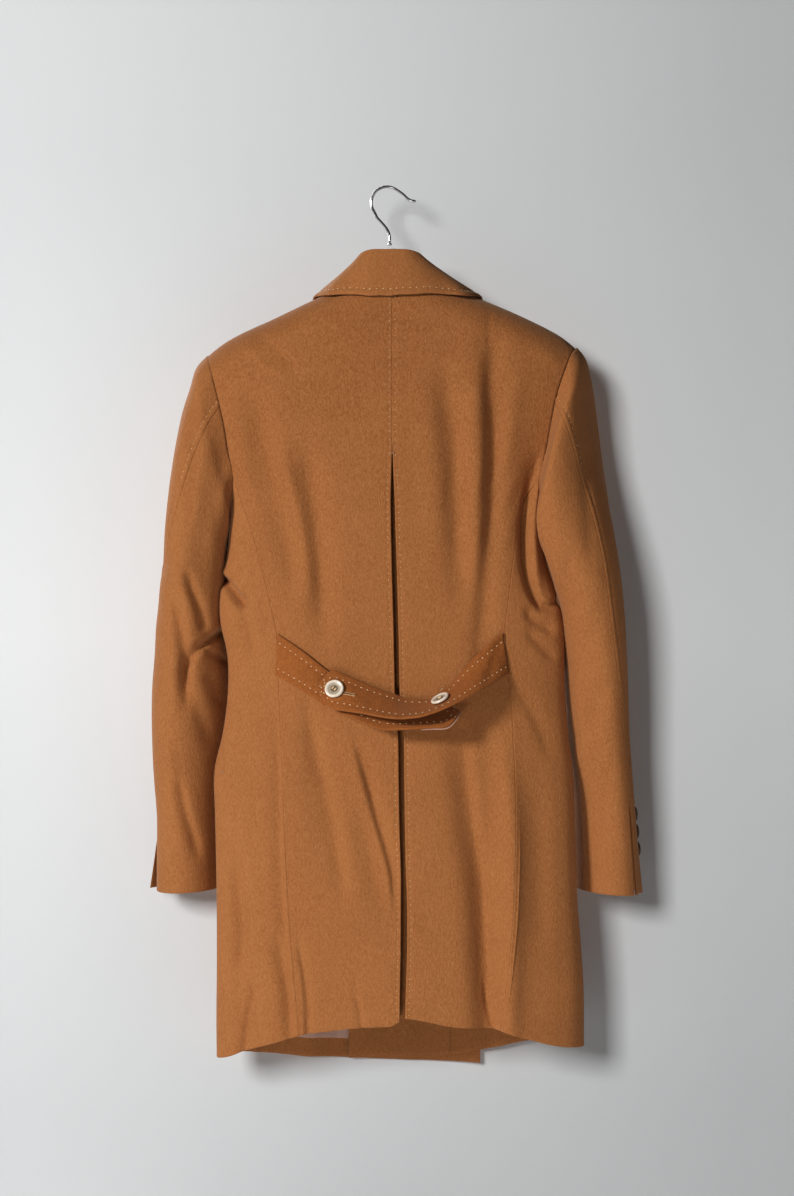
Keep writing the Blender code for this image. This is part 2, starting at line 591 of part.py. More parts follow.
def neck_dip(x):
    """Drop of the back neckline below the shoulders' line."""
    return NECK_DIP * np.cos(np.clip(np.abs(x) / NECK_HALF, 0.0, 1.0) * math.pi / 2.0) ** 0.8


def back_places(side, share):
    inner_edge, outer_edge = back_edges(side)
    start = inner_edge(-0.12)
    top_x = start + share * (SHOULDER[side][0] - start)
    top_z = CREST.at("z", top_x) - neck_dip(top_x)
    hem_x = inner_edge(-1.0) + share * (outer_edge(-1.01) - inner_edge(-1.0))
    return panel_places(share, inner_edge, outer_edge, (top_x, top_z), BACK_HEM.at("z", hem_x))


def front_places(side, share):
    def inner_edge(z):
        return CLOSING_EDGE[side].at("x", z)

    def outer_edge(z):
        return FRONT_EDGE[side].at("x", z)

    top_x = side * NECK_HALF + share * (SHOULDER[side][0] - side * NECK_HALF)
    top_z = CREST.at("z", top_x)
    hem_x = inner_edge(-1.07) + share * (outer_edge(-1.05) - inner_edge(-1.07))
    hem_z = FRONT_HEM[side].at("z", hem_x)
    return panel_places(share, inner_edge, outer_edge, (top_x, top_z), hem_z)


def smooth(share):
    share = np.clip(share, 0.0, 1.0)
    return share * share * (3.0 - 2.0 * share)


def underlap_shift(x, z, side):
    """How far the underlapping front lies inside the overlapping one."""
    if side < 0:
        return np.zeros_like(x)
    return UNDERLAP * smooth((0.150 - x) / 0.030) * smooth((-0.180 - z) / 0.090)


def level_crest(points, normals):
    """Both panels of a shoulder seam share one upright direction of thickness there."""
    on_seam = np.abs(points[0, :, 0]) >= NECK_HALF - 1e-6
    normals = normals.copy()
    normals[0, on_seam, 1] = 0.0
    return unit(normals)


def back_grid(side):
    share = np.linspace(0.0, 1.0, BACK_COLUMNS + 1)
    x, z = back_places(side, share)
    points = body_point(x, z, -1)
    return points, level_crest(points, face_normals(x, z, -1))


def front_grid(side):
    share = np.linspace(0.0, 1.0, FRONT_COLUMNS + 1)
    x, z = front_places(side, share)
    points = body_point(x, z, 1)
    normals = face_normals(x, z, 1)
    points = points - normals * underlap_shift(x, z, side)[..., None]
    return points, level_crest(points, normals)


def side_places(side):
    """Angles and levels of a side panel: rows from the underarm to the hem."""
    share = np.linspace(0.0, 1.0, SIDE_STEPS + 1)
    top_z = NOTCH_Z - UNDERARM_DIP * np.sin(share * math.pi) ** 0.9
    hem_level = -1.03
    start = ring_angle(BACK_EDGE[side].at("x", hem_level), hem_level, side, -1)
    end = ring_angle(FRONT_EDGE[side].at("x", -1.05), -1.05, side, 1)
    hem_angle = start + share * (end - start)
    hem_x = side_point(hem_angle, np.full_like(hem_angle, hem_level), side)[..., 0]
    hem_z = np.where(hem_angle < 90.0, BACK_HEM.at("z", hem_x), FRONT_HEM[side].at("z", hem_x))
    hem_z[0] = back_places(side, np.array([1.0]))[1][-1, 0]
    hem_z[-1] = front_places(side, np.array([1.0]))[1][-1, 0]
    angles = []
    levels = []
    for down in LOWER_ROWS:
        z = top_z + (hem_z - top_z) * down
        first = ring_angle(BACK_EDGE[side].at("x", z), z, side, -1)
        last = ring_angle(FRONT_EDGE[side].at("x", z), z, side, 1)
        angles.append(first + share * (last - first))
        levels.append(z)
    return np.array(angles), np.array(levels)


def build_body(wool):
    """Backs, side bodies and fronts; returns their grids for what is laid on them."""
    grids = {}
    for side, hand in ((-1, "left"), (1, "right")):
        points, normals = back_grid(side)
        grids["back", side] = (points, normals)
        edges = ("left", "right", "top")
        outer = trim(points, edges)
        inner = trim(points - BODY_CLOTH * normals, edges)
        wall("back_" + hand, outer, inner, wool)

        points, normals = front_grid(side)
        grids["front", side] = (points, normals)
        edges = ("right", "top")
        outer = trim(points, edges)
        inner = trim(points - BODY_CLOTH * normals, edges)
        wall("front_" + hand, outer, inner, wool)

        angles, levels = side_places(side)
        points = side_point(angles, levels, side)
        normals = round_normals(angles, levels, side)
        for column, name in ((0, "back"), (-1, "front")):
            points[:, column] = grids[name, side][0][UPPER_STEPS:, -1]
            normals[:, column] = grids[name, side][1][UPPER_STEPS:, -1]
        grids["side", side] = (points, normals)
        edges = ("left", "right", "top")
        outer = trim(points, edges)
        inner = trim(points - BODY_CLOTH * normals, edges)
        wall("side_body_" + hand, outer, inner, wool)
    return grids


def mirrored_columns(left, right):
    """Columns of both backs beside the pleat, joined by one column on its centre."""
    aside = slice(PLEAT_COLUMNS, 0, -1)
    middle = (left[:, :1] + right[:, :1]) / 2.0
    return np.concatenate([left[:, aside], middle, right[:, 1:PLEAT_COLUMNS + 1]], axis=1)


def build_pleat(grids, wool):
    """The cloth behind the open pleat: it lies on both backs and bows away in the middle."""
    rows = slice(UPPER_STEPS - 1, None)
    left_points, left_normals = grids["back", -1]
    right_points, right_normals = grids["back", 1]
    points = mirrored_columns(left_points[rows], right_points[rows])
    normals = unit(mirrored_columns(left_normals[rows], right_normals[rows]))
    centre = PLEAT.at("x", points[:, :1, 2])
    width = np.abs(points[:, :1, 0] - centre)
    across = np.clip(np.abs(points[..., 0] - centre) / width, 0.0, 1.0)
    bow = PLEAT_BULGE * np.cos(across * math.pi / 2.0)
    depth = BODY_CLOTH + LAY_GAP + bow
    outer = points - normals * depth[..., None]
    inner = outer - normals * BODY_CLOTH
    lift = np.zeros_like(outer[-1])
    lift[:, 2] = 0.004
    outer[-1] += lift
    inner[-1] += lift
    wall("pleat_underlay", outer, inner, wool)


# ---------------------------------------------------------------- sleeves
def armhole_points(grids, side):
    """Vertices round the armhole from the shoulder down the back, under the arm and up."""
    back = grids["back", side][0][:UPPER_STEPS, -1]
    under = grids["side", side][0][0]
    front = grids["front", side][0][1:UPPER_STEPS, -1][::-1]
    return np.concatenate([back, under, front])


def armhole_normals(grids, side):
    back = grids["back", side][1][:UPPER_STEPS, -1]
    under = grids["side", side][1][0]
    front = grids["front", side][1][1:UPPER_STEPS, -1][::-1]
    return np.concatenate([back, under, front])


class Sleeve:
    """The sleeve's surface from its armhole to its cuff."""

    def __init__(self, grids, side):
        self.side = side
        self.table = SLEEVE[side]
        self.loop = armhole_points(grids, side)
        normals = armhole_normals(grids, side)
        following = np.roll(self.loop, -1, axis=0)
        before = np.roll(self.loop, 1, axis=0)
        tangent = unit(following - before)
        plane = np.array([1.0, 0.0, 0.0])
        middle = self.loop.mean(axis=0)
        self.inward = unit(np.cross(tangent, plane))
        turn = np.sign(np.sum(self.inward * (middle - self.loop), axis=1, keepdims=True))
        self.inward = self.inward * turn
        away = unit(np.cross(tangent, normals))
        away = away * np.sign(away[:, :1] * side + away[:, 2:] * 0.4)
        self.start = self.loop + away * SEAM_GAP * 1.6
        self.top_z = self.loop[0, 2]
        self.under_z = self.loop[:, 2].min()
        self.angles = self.loop_angles()

    def loop_angles(self):
        middle_y = self.table.at("mid_y", 0.0)
        half_y = self.table.at("half_y", 0.0)
        middle_z = (self.top_z + self.under_z) / 2.0
        half_z = (self.top_z - self.under_z) / 2.0
        turn = np.degrees(np.arctan2(-(self.loop[:, 1] - middle_y) / half_y,
                                     (self.loop[:, 2] - middle_z) / half_z))
        turn = np.where(turn < -20.0, turn + 360.0, turn)
        turn[0] = 0.0
        return turn

    def section(self, v, angle):
        """A point of the plain section, before it is drawn to the armhole."""
        turn = np.radians(angle)
        outer_x = self.table.at("outer_x", v)
        inner_x = self.table.at("inner_x", v)
        half = np.abs(outer_x - inner_x) / 2.0
        lean = self.table.at("lean", v)
        width = np.sqrt(np.maximum(half * half - lean * lean, 1e-8))
        outer_z = self.top_z + (CUFF_END_Z - self.top_z) * v
        inner_z = self.under_z + (UNDERARM_END_Z - self.under_z) * v
        x = (outer_x + inner_x) / 2.0 + self.side * (width * np.cos(turn) - lean * np.sin(turn))
        y = self.table.at("mid_y", v) - self.table.at("half_y", v) * np.sin(turn)
        z = (outer_z + inner_z) / 2.0 + (outer_z - inner_z) / 2.0 * np.cos(turn)
        return np.stack(np.broadcast_arrays(x, y, z), axis=-1)

    def loop_at(self, angle):
        """The armhole's own line by angle."""
        turns = np.concatenate([self.angles - 360.0, self.angles, self.angles + 360.0])
        points = np.concatenate([self.start] * 3)
        return np.stack([np.interp(angle, turns, points[:, i]) for i in range(3)], axis=-1)

    def point(self, v, angle):
        v = np.asarray(v, dtype=float)
        near = np.clip(1.0 - v / ARMHOLE_BLEND, 0.0, 1.0)
        hold = (near * near * (3.0 - 2.0 * near))[..., None]
        zero = np.zeros_like(v)
        shift = self.loop_at(angle) - self.section(zero, angle)
        return self.section(v, angle) + hold * shift

    def normals(self, v, angle):
        low = np.clip(v - 0.002, 0.0, 1.0)
        high = np.clip(v + 0.002, 0.0, 1.0)
        along = self.point(high, angle) - self.point(low, angle)
        across = self.point(v, angle + 4.0) - self.point(v, angle - 4.0)
        return -self.side * unit(np.cross(along, across))

    def nearest_index(self, angle):
        return int(np.argmin(np.abs(self.angles - angle)))

    def build(self, hand, wool):
        count = len(self.loop)
        elbow = self.nearest_index(self.table.at("elbow", 0.0))
        front = self.nearest_index(FRONT_SEAM_ANGLE)
        rows = np.array(SLEEVE_ROWS)
        elbow_line = self.table.at("elbow", rows)
        elbow_line[0] = self.angles[elbow]
        settle = np.clip(rows / 0.2, 0.0, 1.0)
        front_line = self.angles[front] + (FRONT_SEAM_ANGLE - self.angles[front]) * settle
        opening = VENT_ANGLE * np.clip((rows - VENT_TOP) / 0.05, 0.0, 1.0)

        under = list(range(elbow, front + 1))
        self.panel("under_sleeve_" + hand, under, self.angles[under],
                   elbow_line + opening * 0.5, front_line, rows, 0.0, wool)
        upper = list(range(front - count, elbow + 1))
        turns = np.array([self.angles[i] if i >= 0 else self.angles[i + count] - 360.0
                          for i in upper])
        self.panel("upper_sleeve_" + hand, upper, turns,
                   front_line - 360.0, elbow_line - opening * 0.5, rows, CUFF_FLARE[self.side], wool)

    def panel(self, name, indices, turns, first_line, last_line, rows, flare, wool):
        share = (turns - turns[0]) / (turns[-1] - turns[0])
        angle = first_line[:, None] + share[None, :] * (last_line - first_line)[:, None]
        v = np.repeat(rows[:, None], len(indices), axis=1)
        points = self.point(v, angle)
        normals = self.normals(v, angle)
        if flare:
            near = np.clip((share - 0.75) / 0.25, 0.0, 1.0) ** 2
            low = np.clip((rows - VENT_TOP) / (1.0 - VENT_TOP), 0.0, 1.0) ** 1.5
            points = points + normals * (flare * low[:, None] * near[None, :])[..., None]
        inner = points - normals * SLEEVE_CLOTH
        inner[0] = points[0] + self.inward[indices] * SLEEVE_CLOTH
        edges = ("left", "right")
        wall(name, trim(points, edges), trim(inner, edges), wool)


# ---------------------------------------------------------------- collar and lapels
def collar_lines():
    """The fold, the outer edge and the neck seam of the collar, from end to end."""
    share = COLLAR_SHARES
    place = np.abs(share)
    lines = {}
    for line in ("fold", "seam"):
        x = np.sign(share) * COLLAR.at(line + "_x", place)
        lines[line] = np.stack([x, COLLAR.at(line + "_y", place),
                                COLLAR.at(line + "_z", place)], axis=-1)
    lines["fold"][:, 0] += COLLAR_SHIFT * smooth((place - 0.2) / 0.6) * 0.3
    x = np.sign(share) * COLLAR.at("edge_x", place) + COLLAR_SHIFT * smooth(place / 0.6)
    z = CREST.at("z", x) - COLLAR.at("edge_drop", place)
    off = COLLAR.at("edge_off", place)
    back = body_y(x, z, -1) - off
    front = body_y(x, z, 1) + off
    y = np.where(place < COLLAR_CREST, back, front)
    y = np.where(np.abs(place - 0.67) < 1e-6, 0.0, y)
    lines["edge"] = np.stack([x, y, z], axis=-1)
    return lines


def build_collar(wool):
    lines = collar_lines()
    fall = []
    for down in COLLAR_ROWS:
        row = lines["fold"] + (lines["edge"] - lines["fold"]) * down
        fall.append(row)
    fall = np.array(fall)
    outward = fall.copy()
    outward[..., 2] = 0.05
    normals = grid_normals(fall, outward)
    downs = np.array(COLLAR_ROWS)[:, None]
    place = COLLAR_SHARES[None, :]
    bulge = (0.002 + 0.005 * smooth((np.abs(place) - 0.68) / 0.1)) * np.sin(downs * math.pi)
    fall = fall + normals * bulge[..., None]
    normals = grid_normals(fall, outward)
    wall("collar_fall", fall, fall - normals * COLLAR_CLOTH, wool)

    stand = []
    tuck = 0.0008
    for down in (0.0, 0.5, 1.0):
        row = lines["fold"] + (lines["seam"] - lines["fold"]) * down
        stand.append(row)
    stand = np.array(stand)
    outward = stand.copy()
    outward[..., 2] = 0.0
    inside = unit(outward) * (COLLAR_CLOTH + tuck)
    stand = stand - inside
    stand[0, :, 2] -= 0.0015
    outward[..., 2] = 0.02
    normals = grid_normals(stand, outward)
    wall("collar_stand", stand, stand - normals * COLLAR_CLOTH, wool)


def build_lapels(wool):
    for side, hand in ((-1, "left"), (1, "right")):
        share = np.linspace(0.0, 1.0, 9)
        fold_z = LAPEL.at("fold_z", share)
        fold_x = CLOSING_EDGE[side].at("x", fold_z)
        if side > 0:
            fold_x = np.maximum(fold_x, CLOSING_EDGE[-1].at("x", fold_z) + 0.004)
        reach = LAPEL.at("reach", share)
        rise = LAPEL.at("rise", share)
        across = np.linspace(0.0, 1.0, LAPEL_COLUMNS + 1)
        x = fold_x[:, None] + side * reach[:, None] * across[None, :]
        z = fold_z[:, None] + rise[:, None] * across[None, :]
        points = body_point(x, z, 1)
        normals = face_normals(x, z, 1)
        lift = 0.0016 + 0.0020 * np.sin(across * math.pi)[None, :]
        base = points - normals * underlap_shift(x, z, side)[..., None]
        inner = base + normals * lift[..., None]
        outer = inner + normals * LAPEL_CLOTH
        wall("lapel_" + hand, outer, inner, wool)


# ---------------------------------------------------------------- half belt
def belt_grid(name):
    table = BELT[name]
    u = np.arange(table.place[0], table.place[-1] + 0.25, 0.5)
    top_x = table.at("top_x", u)
    top_z = table.at("top_z", u)
    low_x = table.at("low_x", u)
    low_z = table.at("low_z", u)
    top_y = body_y(top_x, top_z, -1) - table.at("top_off", u)
    low_y = body_y(low_x, low_z, -1) - table.at("low_off", u)
    top = np.stack([top_x, top_y, top_z], axis=-1)
    low = np.stack([low_x, low_y, low_z], axis=-1)
    share = np.linspace(0.0, 1.0, BELT_ROWS + 1)[:, None, None]
    grid = top[None] + (low - top)[None] * share
    outward = np.zeros_like(grid)
    outward[..., 1] = -1.0
    return u, grid, grid_normals(grid, outward)


def build_belt(wool, horn):
    belts = {}
    for name in BELT:
        u, grid, normals = belt_grid(name)
        belts[name] = (u, grid, normals)
        wall(name, grid, grid - normals * BELT_CLOTH, wool)
    u, grid, normals = belts["belt_tab_right"]
    surface = surface_of(["belt_tab_right"])
    for name, (place, down) in BELT_BUTTONS.items():
        column = (place - u[0]) / (u[1] - u[0])
        row = down * BELT_ROWS
        point = between(grid, row, column)
        normal = unit(between(normals, row, column))
        add_button(name, point, normal, BELT_BUTTON, surface, horn)


def between(grid, row, column):
    """A point of a grid at a fractional row and column."""
    r = min(int(row), grid.shape[0] - 2)
    c = min(int(column), grid.shape[1] - 2)
    a = row - r
    b = column - c
    top = grid[r, c] * (1 - b) + grid[r, c + 1] * b
    low = grid[r + 1, c] * (1 - b) + grid[r + 1, c + 1] * b
    return top * (1 - a) + low * a


# ---------------------------------------------------------------- buttons


def add_button(name, place, normal, size, surface, material):
    """A turned button with a raised rim, seated on a surface."""
    radius, height, sides = size
    aside = unit(np.cross(normal, np.array([0.0, 0.0, 1.0])))
    upward = np.cross(aside, normal)
    turns = [2.0 * math.pi * i / sides for i in range(sides)]
    arms = [aside * math.cos(turn) + upward * math.sin(turn) for turn in turns]
    heights = [clearance(surface, place + arm * reach, normal)
               for arm in arms for reach in (0.0, radius * 0.5, radius * 0.92)]
    seat = place + normal * (LAY_GAP - min(found for found in heights if found is not None))
    profile = ((radius * 0.92, 0.0), (radius, height * 0.45), (radius * 0.90, height),
               (radius * 0.66, height * 0.92), (radius * 0.56, height * 0.62))
    points = [seat]
    for reach, rise in profile:
        points += [seat + arm * reach + normal * rise for arm in arms]
    points.append(seat + normal * profile[-1][1])
    last = 1 + (len(profile) - 1) * sides
    faces = []
    for i in range(sides):
        j = (i + 1) % sides
        faces.append((0, 1 + j, 1 + i))
        for ring in range(len(profile) - 1):
            low = 1 + ring * sides
            faces.append((low + i, low + j, low + sides + j, low + sides + i))
        faces.append((last + i, last + j, len(points) - 1))
    return add_object(name, points, faces, material)


def build_front_buttons(horn):
    for number, (x, z) in enumerate(FRONT_BUTTONS, start=1):
        place_x = np.array([x])
        place_z = np.array([z])
        point = body_point(place_x, place_z, 1)[0]
        normal = face_normals(place_x, place_z, 1)[0]
        surface = surface_of(["front_left"])
        add_button("front_button_" + str(number), point, normal, FRONT_BUTTON, surface, horn)


def build_cuff_buttons(sleeve, hand, horn):
    surface = surface_of(["upper_sleeve_" + hand])
    for number, v in enumerate(CUFF_BUTTONS, start=1):
        place = np.array([v])
        turn = np.array([float(sleeve.table.at("elbow", v)) - CUFF_BUTTON_BEHIND])
        point = sleeve.point(place, turn)[0]
        normal = sleeve.normals(place, turn)[0]
        name = "cuff_button_" + hand + "_" + str(number)
        add_button(name, point, normal, CUFF_BUTTON, surface, horn)


# ---------------------------------------------------------------- pockets, facing and lining
def build_flaps(wool):
    for side, hand in ((-1, "left"), (1, "right")):
        start, end = FLAP_ANGLES[side]
        share = np.linspace(0.0, 1.0, 13)
        angle = (start + share * (end - start))[None, :]
        down = np.array([0.0, 0.5, 1.0])[:, None]
        corner = 0.006 * np.clip(1.0 - share[None, :] / 0.1, 0.0, 1.0) * down
        z = FLAP_TOP_Z - 0.010 * share[None, :] - FLAP_DROP * down + corner
        angle, z = np.broadcast_arrays(angle, z)
        points = side_point(angle, z, side)
        normals = round_normals(angle, z, side)
        surface = surface_of(["side_body_" + hand, "front_" + hand])
        inner = lay_on(surface, points, normals, LAY_GAP * 1.7)
        outer = inner + normals * BODY_CLOTH
        wall("pocket_flap_" + hand, outer, inner, wool)


def build_insides(grids, wool, satin):
    """The facing of the underlap and the lining of the overlap, where the hem lets them show."""
    points, normals = grids["front", 1]
    columns = slice(0, 6)
    rows = slice(-4, None)
    face = points[rows, columns] - normals[rows, columns] * (BODY_CLOTH + LAY_GAP)
    face[-1, :, 2] += 0.004
    inner = face - normals[rows, columns] * LINING_CLOTH
    wall("front_facing_right", face, inner, wool)

    points, normals = grids["front", -1]
    columns = slice(3, 9)
    lining = points[rows, columns] - normals[rows, columns] * (BODY_CLOTH + LAY_GAP)
    lining[-1, :, 2] += LINING_LIFT
    inner = lining - normals[rows, columns] * LINING_CLOTH
    wall("front_lining_left", lining, inner, satin)


# ---------------------------------------------------------------- hanger and hook
def loft(name, rings, material):
    """A closed solid through rings of equal count, with flat ends."""
    rings = np.array(rings)
    steps, count = rings.shape[:2]
    points = list(rings.reshape(-1, 3)) + [rings[0].mean(axis=0), rings[-1].mean(axis=0)]
    faces = []
    for s in range(steps - 1):
        for i in range(count):
            j = (i + 1) % count
            faces.append((s * count + i, s * count + j, (s + 1) * count + j, (s + 1) * count + i))
    first = len(points) - 2
    last = len(points) - 1
    for i in range(count):
        j = (i + 1) % count
        faces.append((first, j, i))
        faces.append((last, (steps - 1) * count + i, (steps - 1) * count + j))
    return add_object(name, points, faces, material)


def build_hanger(lacquer):
    half = HANGER.place
    places = np.concatenate([-half[:0:-1], half])
    extra = np.array([-0.165, -0.105, -0.05, 0.05, 0.105, 0.165])
    places = np.sort(np.concatenate([places, extra]))
    rings = []
    for x in places:
        away = abs(x)
        seat = float(CREST.at("z", x)) - BODY_CLOTH - SEAM_GAP * 2.4
        top = seat + float(HANGER.at("up", away))
        low = seat - float(HANGER.at("down", away))
        half_y = float(HANGER.at("half_y", away))
        centre_y = float(CREST.at("y", x))
        ring = []
        for i in range(10):
            turn = 2.0 * math.pi * i / 10
            y = centre_y + half_y * math.sin(turn)
            z = (top + low) / 2.0 + (top - low) / 2.0 * math.cos(turn)
            ring.append((x, y, z))
        rings.append(ring)
    loft("hanger", rings, lacquer)


def hook_path():
    """Centre line of the hook, from its stem over the crest to its tip."""
    centre_z = -math.sqrt((HOOK_RADIUS - HOOK_WIRE) ** 2 - HOOK_CENTRE_X ** 2)
    path = [(0.0000, -0.0665), (0.0, -0.0600), (-0.0012, -0.0540), (-0.0042, -0.0485),
            (-0.0095, -0.0422), (-0.0150, -0.0360)]
    for step in range(15):
        turn = math.radians(214.0 - step * (214.0 - 52.0) / 14)
        path.append((HOOK_CENTRE_X + HOOK_RADIUS * math.cos(turn),
                     centre_z + HOOK_RADIUS * math.sin(turn)))
    path += [(0.0165, -0.0075), (0.0225, -0.0130), (0.0265, -0.0150), (0.0320, -0.0158)]
    return np.array(path)


def build_hook(chrome):
    path = hook_path()
    tangent = unit(np.gradient(path, axis=0))
    rings = []
    for place, direction in zip(path, tangent):
        ring = []
        for i in range(10):
            turn = 2.0 * math.pi * i / 10
            aside = HOOK_WIRE * math.cos(turn)
            ring.append((place[0] - direction[1] * aside, HOOK_WIRE * math.sin(turn),
                         place[1] + direction[0] * aside))
        rings.append(ring)
    loft("hanger_hook", rings, chrome)

    rings = []
    top = float(path[0][1]) - SEAM_GAP
    seat = float(CREST.at("z", 0.0)) - BODY_CLOTH - SEAM_GAP * 2.4 + float(HANGER.at("up", 0.0))
    for radius, z in ((0.0020, top), (0.0027, top - 0.0006), (0.0027, seat + 0.0008),
                      (0.0022, seat + SEAM_GAP)):
        rings.append([(radius * math.cos(2.0 * math.pi * i / 12),
                       radius * math.sin(2.0 * math.pi * i / 12), z) for i in range(12)])
    loft("hook_nut", rings, chrome)


def main():
    for old in list(bpy.data.objects):
        bpy.data.objects.remove(old, do_unlink=True)
    materials = {name: make_material(name) for name in COLOURS}
    wool = materials["wool"]
    grids = build_body(wool)
    build_pleat(grids, wool)
    for side, hand in ((-1, "left"), (1, "right")):
        sleeve = Sleeve(grids, side)
        sleeve.build(hand, wool)
        build_cuff_buttons(sleeve, hand, materials["dark_horn"])
    build_collar(wool)
    build_lapels(wool)
    build_belt(materials["belt_wool"], materials["light_horn"])
    build_front_buttons(materials["dark_horn"])
    build_flaps(wool)
    build_insides(grids, wool, materials["satin"])
    build_hanger(materials["white_lacquer"])
    build_hook(materials["chrome"])


main()
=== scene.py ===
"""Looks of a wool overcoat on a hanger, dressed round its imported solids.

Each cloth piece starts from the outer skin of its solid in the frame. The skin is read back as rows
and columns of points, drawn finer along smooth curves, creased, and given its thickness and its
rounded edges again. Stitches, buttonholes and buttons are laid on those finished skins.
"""

import json
import logging
import math
from dataclasses import dataclass, replace
from enum import Enum
from typing import Iterable, Sequence

import bmesh
import bpy
import numpy as np
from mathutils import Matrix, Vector

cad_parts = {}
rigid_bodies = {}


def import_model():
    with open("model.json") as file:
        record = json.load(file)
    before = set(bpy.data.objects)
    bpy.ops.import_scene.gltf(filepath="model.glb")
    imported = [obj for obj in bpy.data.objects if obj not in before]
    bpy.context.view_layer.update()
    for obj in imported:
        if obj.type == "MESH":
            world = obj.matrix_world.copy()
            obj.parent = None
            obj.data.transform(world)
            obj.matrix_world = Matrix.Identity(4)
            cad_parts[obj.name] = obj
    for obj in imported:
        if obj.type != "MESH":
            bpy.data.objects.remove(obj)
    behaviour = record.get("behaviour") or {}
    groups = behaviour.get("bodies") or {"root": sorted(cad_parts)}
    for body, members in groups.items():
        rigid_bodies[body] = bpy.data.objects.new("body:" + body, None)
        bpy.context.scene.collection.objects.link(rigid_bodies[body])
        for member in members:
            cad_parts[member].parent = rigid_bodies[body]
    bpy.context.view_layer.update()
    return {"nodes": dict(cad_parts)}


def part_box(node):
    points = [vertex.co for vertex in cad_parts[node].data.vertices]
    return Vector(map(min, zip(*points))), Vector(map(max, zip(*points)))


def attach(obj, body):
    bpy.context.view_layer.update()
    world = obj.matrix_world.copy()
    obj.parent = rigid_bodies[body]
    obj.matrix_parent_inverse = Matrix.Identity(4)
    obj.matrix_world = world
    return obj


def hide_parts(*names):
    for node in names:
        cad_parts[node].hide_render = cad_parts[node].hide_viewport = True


LOG = logging.getLogger("overcoat")

Place = tuple[float, float]
Spot = tuple[float, float, float]
Colour = tuple[float, float, float]
Array = np.ndarray
Piece = bpy.types.Object
Finish = bpy.types.Material
Socket = bpy.types.NodeSocket

# Heights under and over everything.
BELOW_ALL, ABOVE_ALL = -9.0, 9.0
ALL_HEIGHTS = (BELOW_ALL, ABOVE_ALL)

for leftover in list(bpy.data.objects):
    bpy.data.objects.remove(leftover, do_unlink=True)
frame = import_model()


class Side(Enum):
    """The wearer's left and right."""

    LEFT = -1
    RIGHT = 1

    @property
    def hand(self) -> str:
        """The word that ends the names of this side's pieces."""
        return self.name.lower()


class Facing(Enum):
    """Which way the cloth under a crease faces."""

    BACK = (1, -1.0)
    FRONT = (1, 1.0)
    LEFT = (0, -1.0)
    RIGHT = (0, 1.0)


class Edge(Enum):
    """The four edges of a piece of cloth."""

    TOP = 0
    BOTTOM = 1
    FIRST = 2
    LAST = 3


# ------------------------ small geometry
def unit(vectors: Array) -> Array:
    """Vectors of length one along the last axis."""
    length = np.linalg.norm(vectors, axis=-1, keepdims=True)
    return vectors / np.maximum(length, 1e-12)


def smooth(share: Array) -> Array:
    """A soft step from 0 to 1."""
    share = np.clip(share, 0.0, 1.0)
    return share * share * (3.0 - 2.0 * share)


def curve_through(points: Array, places: Array, at: Array) -> Array:
    """Read a smooth curve through rows of points.

    Args:
        points: The rows, along the first axis.
        places: How far along each row lies.
        at: Where the curve is read.

    Returns:
        The points read, one row for each place in `at`.
    """
    spans = np.diff(places)
    wide = (slice(None),) + (None,) * (points.ndim - 1)
    rises = np.diff(points, axis=0) / spans[wide]
    if len(spans) == 1:
        return points[0] + rises[0] * (at - places[0])[wide]
    slopes = np.empty_like(points)
    weight = (spans[1:] / (spans[:-1] + spans[1:]))[wide]
    slopes[1:-1] = rises[:-1] * weight + rises[1:] * (1.0 - weight)
    slopes[0] = 1.5 * rises[0] - 0.5 * slopes[1]
    slopes[-1] = 1.5 * rises[-1] - 0.5 * slopes[-2]
    i = np.clip(np.searchsorted(places, at, side="right") - 1, 0, len(spans) - 1)
    span = spans[i][wide]
    t = ((at - places[i]) / spans[i])[wide]
    start = (1 + 2 * t) * (1 - t) ** 2 * points[i] + t * (1 - t) ** 2 * span * slopes[i]
    end = t * t * (3 - 2 * t) * points[i + 1] + t * t * (t - 1) * span * slopes[i + 1]
    return start + end


def even_line(points: Array, step: float) -> Array:
    """A smooth line through some points, read at even steps."""
    places = reach_along(points)
    count = max(2, int(math.ceil(places[-1] / step)) + 1)
    return curve_through(points, places, np.linspace(0.0, places[-1], count))


def reach_along(points: Array) -> Array:
    """Distance along the first axis from its start to each point."""
    steps = np.linalg.norm(np.diff(points, axis=0), axis=-1)
    return np.concatenate([np.zeros_like(steps[:1]), np.cumsum(steps, axis=0)])


def finer(grid: Array, step: float, band: float = 0.0) -> Array:
    """Draw a grid finer along its first axis, keeping its own rows.

    Args:
        grid: Rows by columns of points.
        step: The largest distance between the new rows.
        band: How far in from the first and the last row the new rows lie twice as close.

    Returns:
        The finer grid.
    """
    spans = np.linalg.norm(np.diff(grid, axis=0), axis=2).mean(axis=1)
    places = np.concatenate([[0.0], np.cumsum(spans)])
    at = [np.zeros(1)]
    for i, span in enumerate(spans):
        close = min(places[i], places[-1] - places[i + 1]) < band
        parts = max(1, int(math.ceil(span / (step / 2.0 if close else step))))
        at.append(places[i] + span * np.arange(1, parts + 1) / parts)
    return curve_through(grid, places, np.concatenate(at))


def turned(grid: Array) -> Array:
    """Rows and columns exchanged."""
    return np.swapaxes(grid, 0, 1)


def grid_normals(grid: Array) -> Array:
    """Normals of a grid: its columns' direction crossed with its rows' direction."""
    return unit(np.cross(np.gradient(grid, axis=0), np.gradient(grid, axis=1)))


def around(sides: int) -> Array:
    """The turns of evenly spaced points round a circle, in radians."""
    return np.linspace(0.0, 2.0 * math.pi, sides, endpoint=False)


def between(points: Array, heights: Place) -> Array:
    """Which of some points lie between two heights."""
    return (points[:, 2] >= heights[0]) & (points[:, 2] <= heights[1])


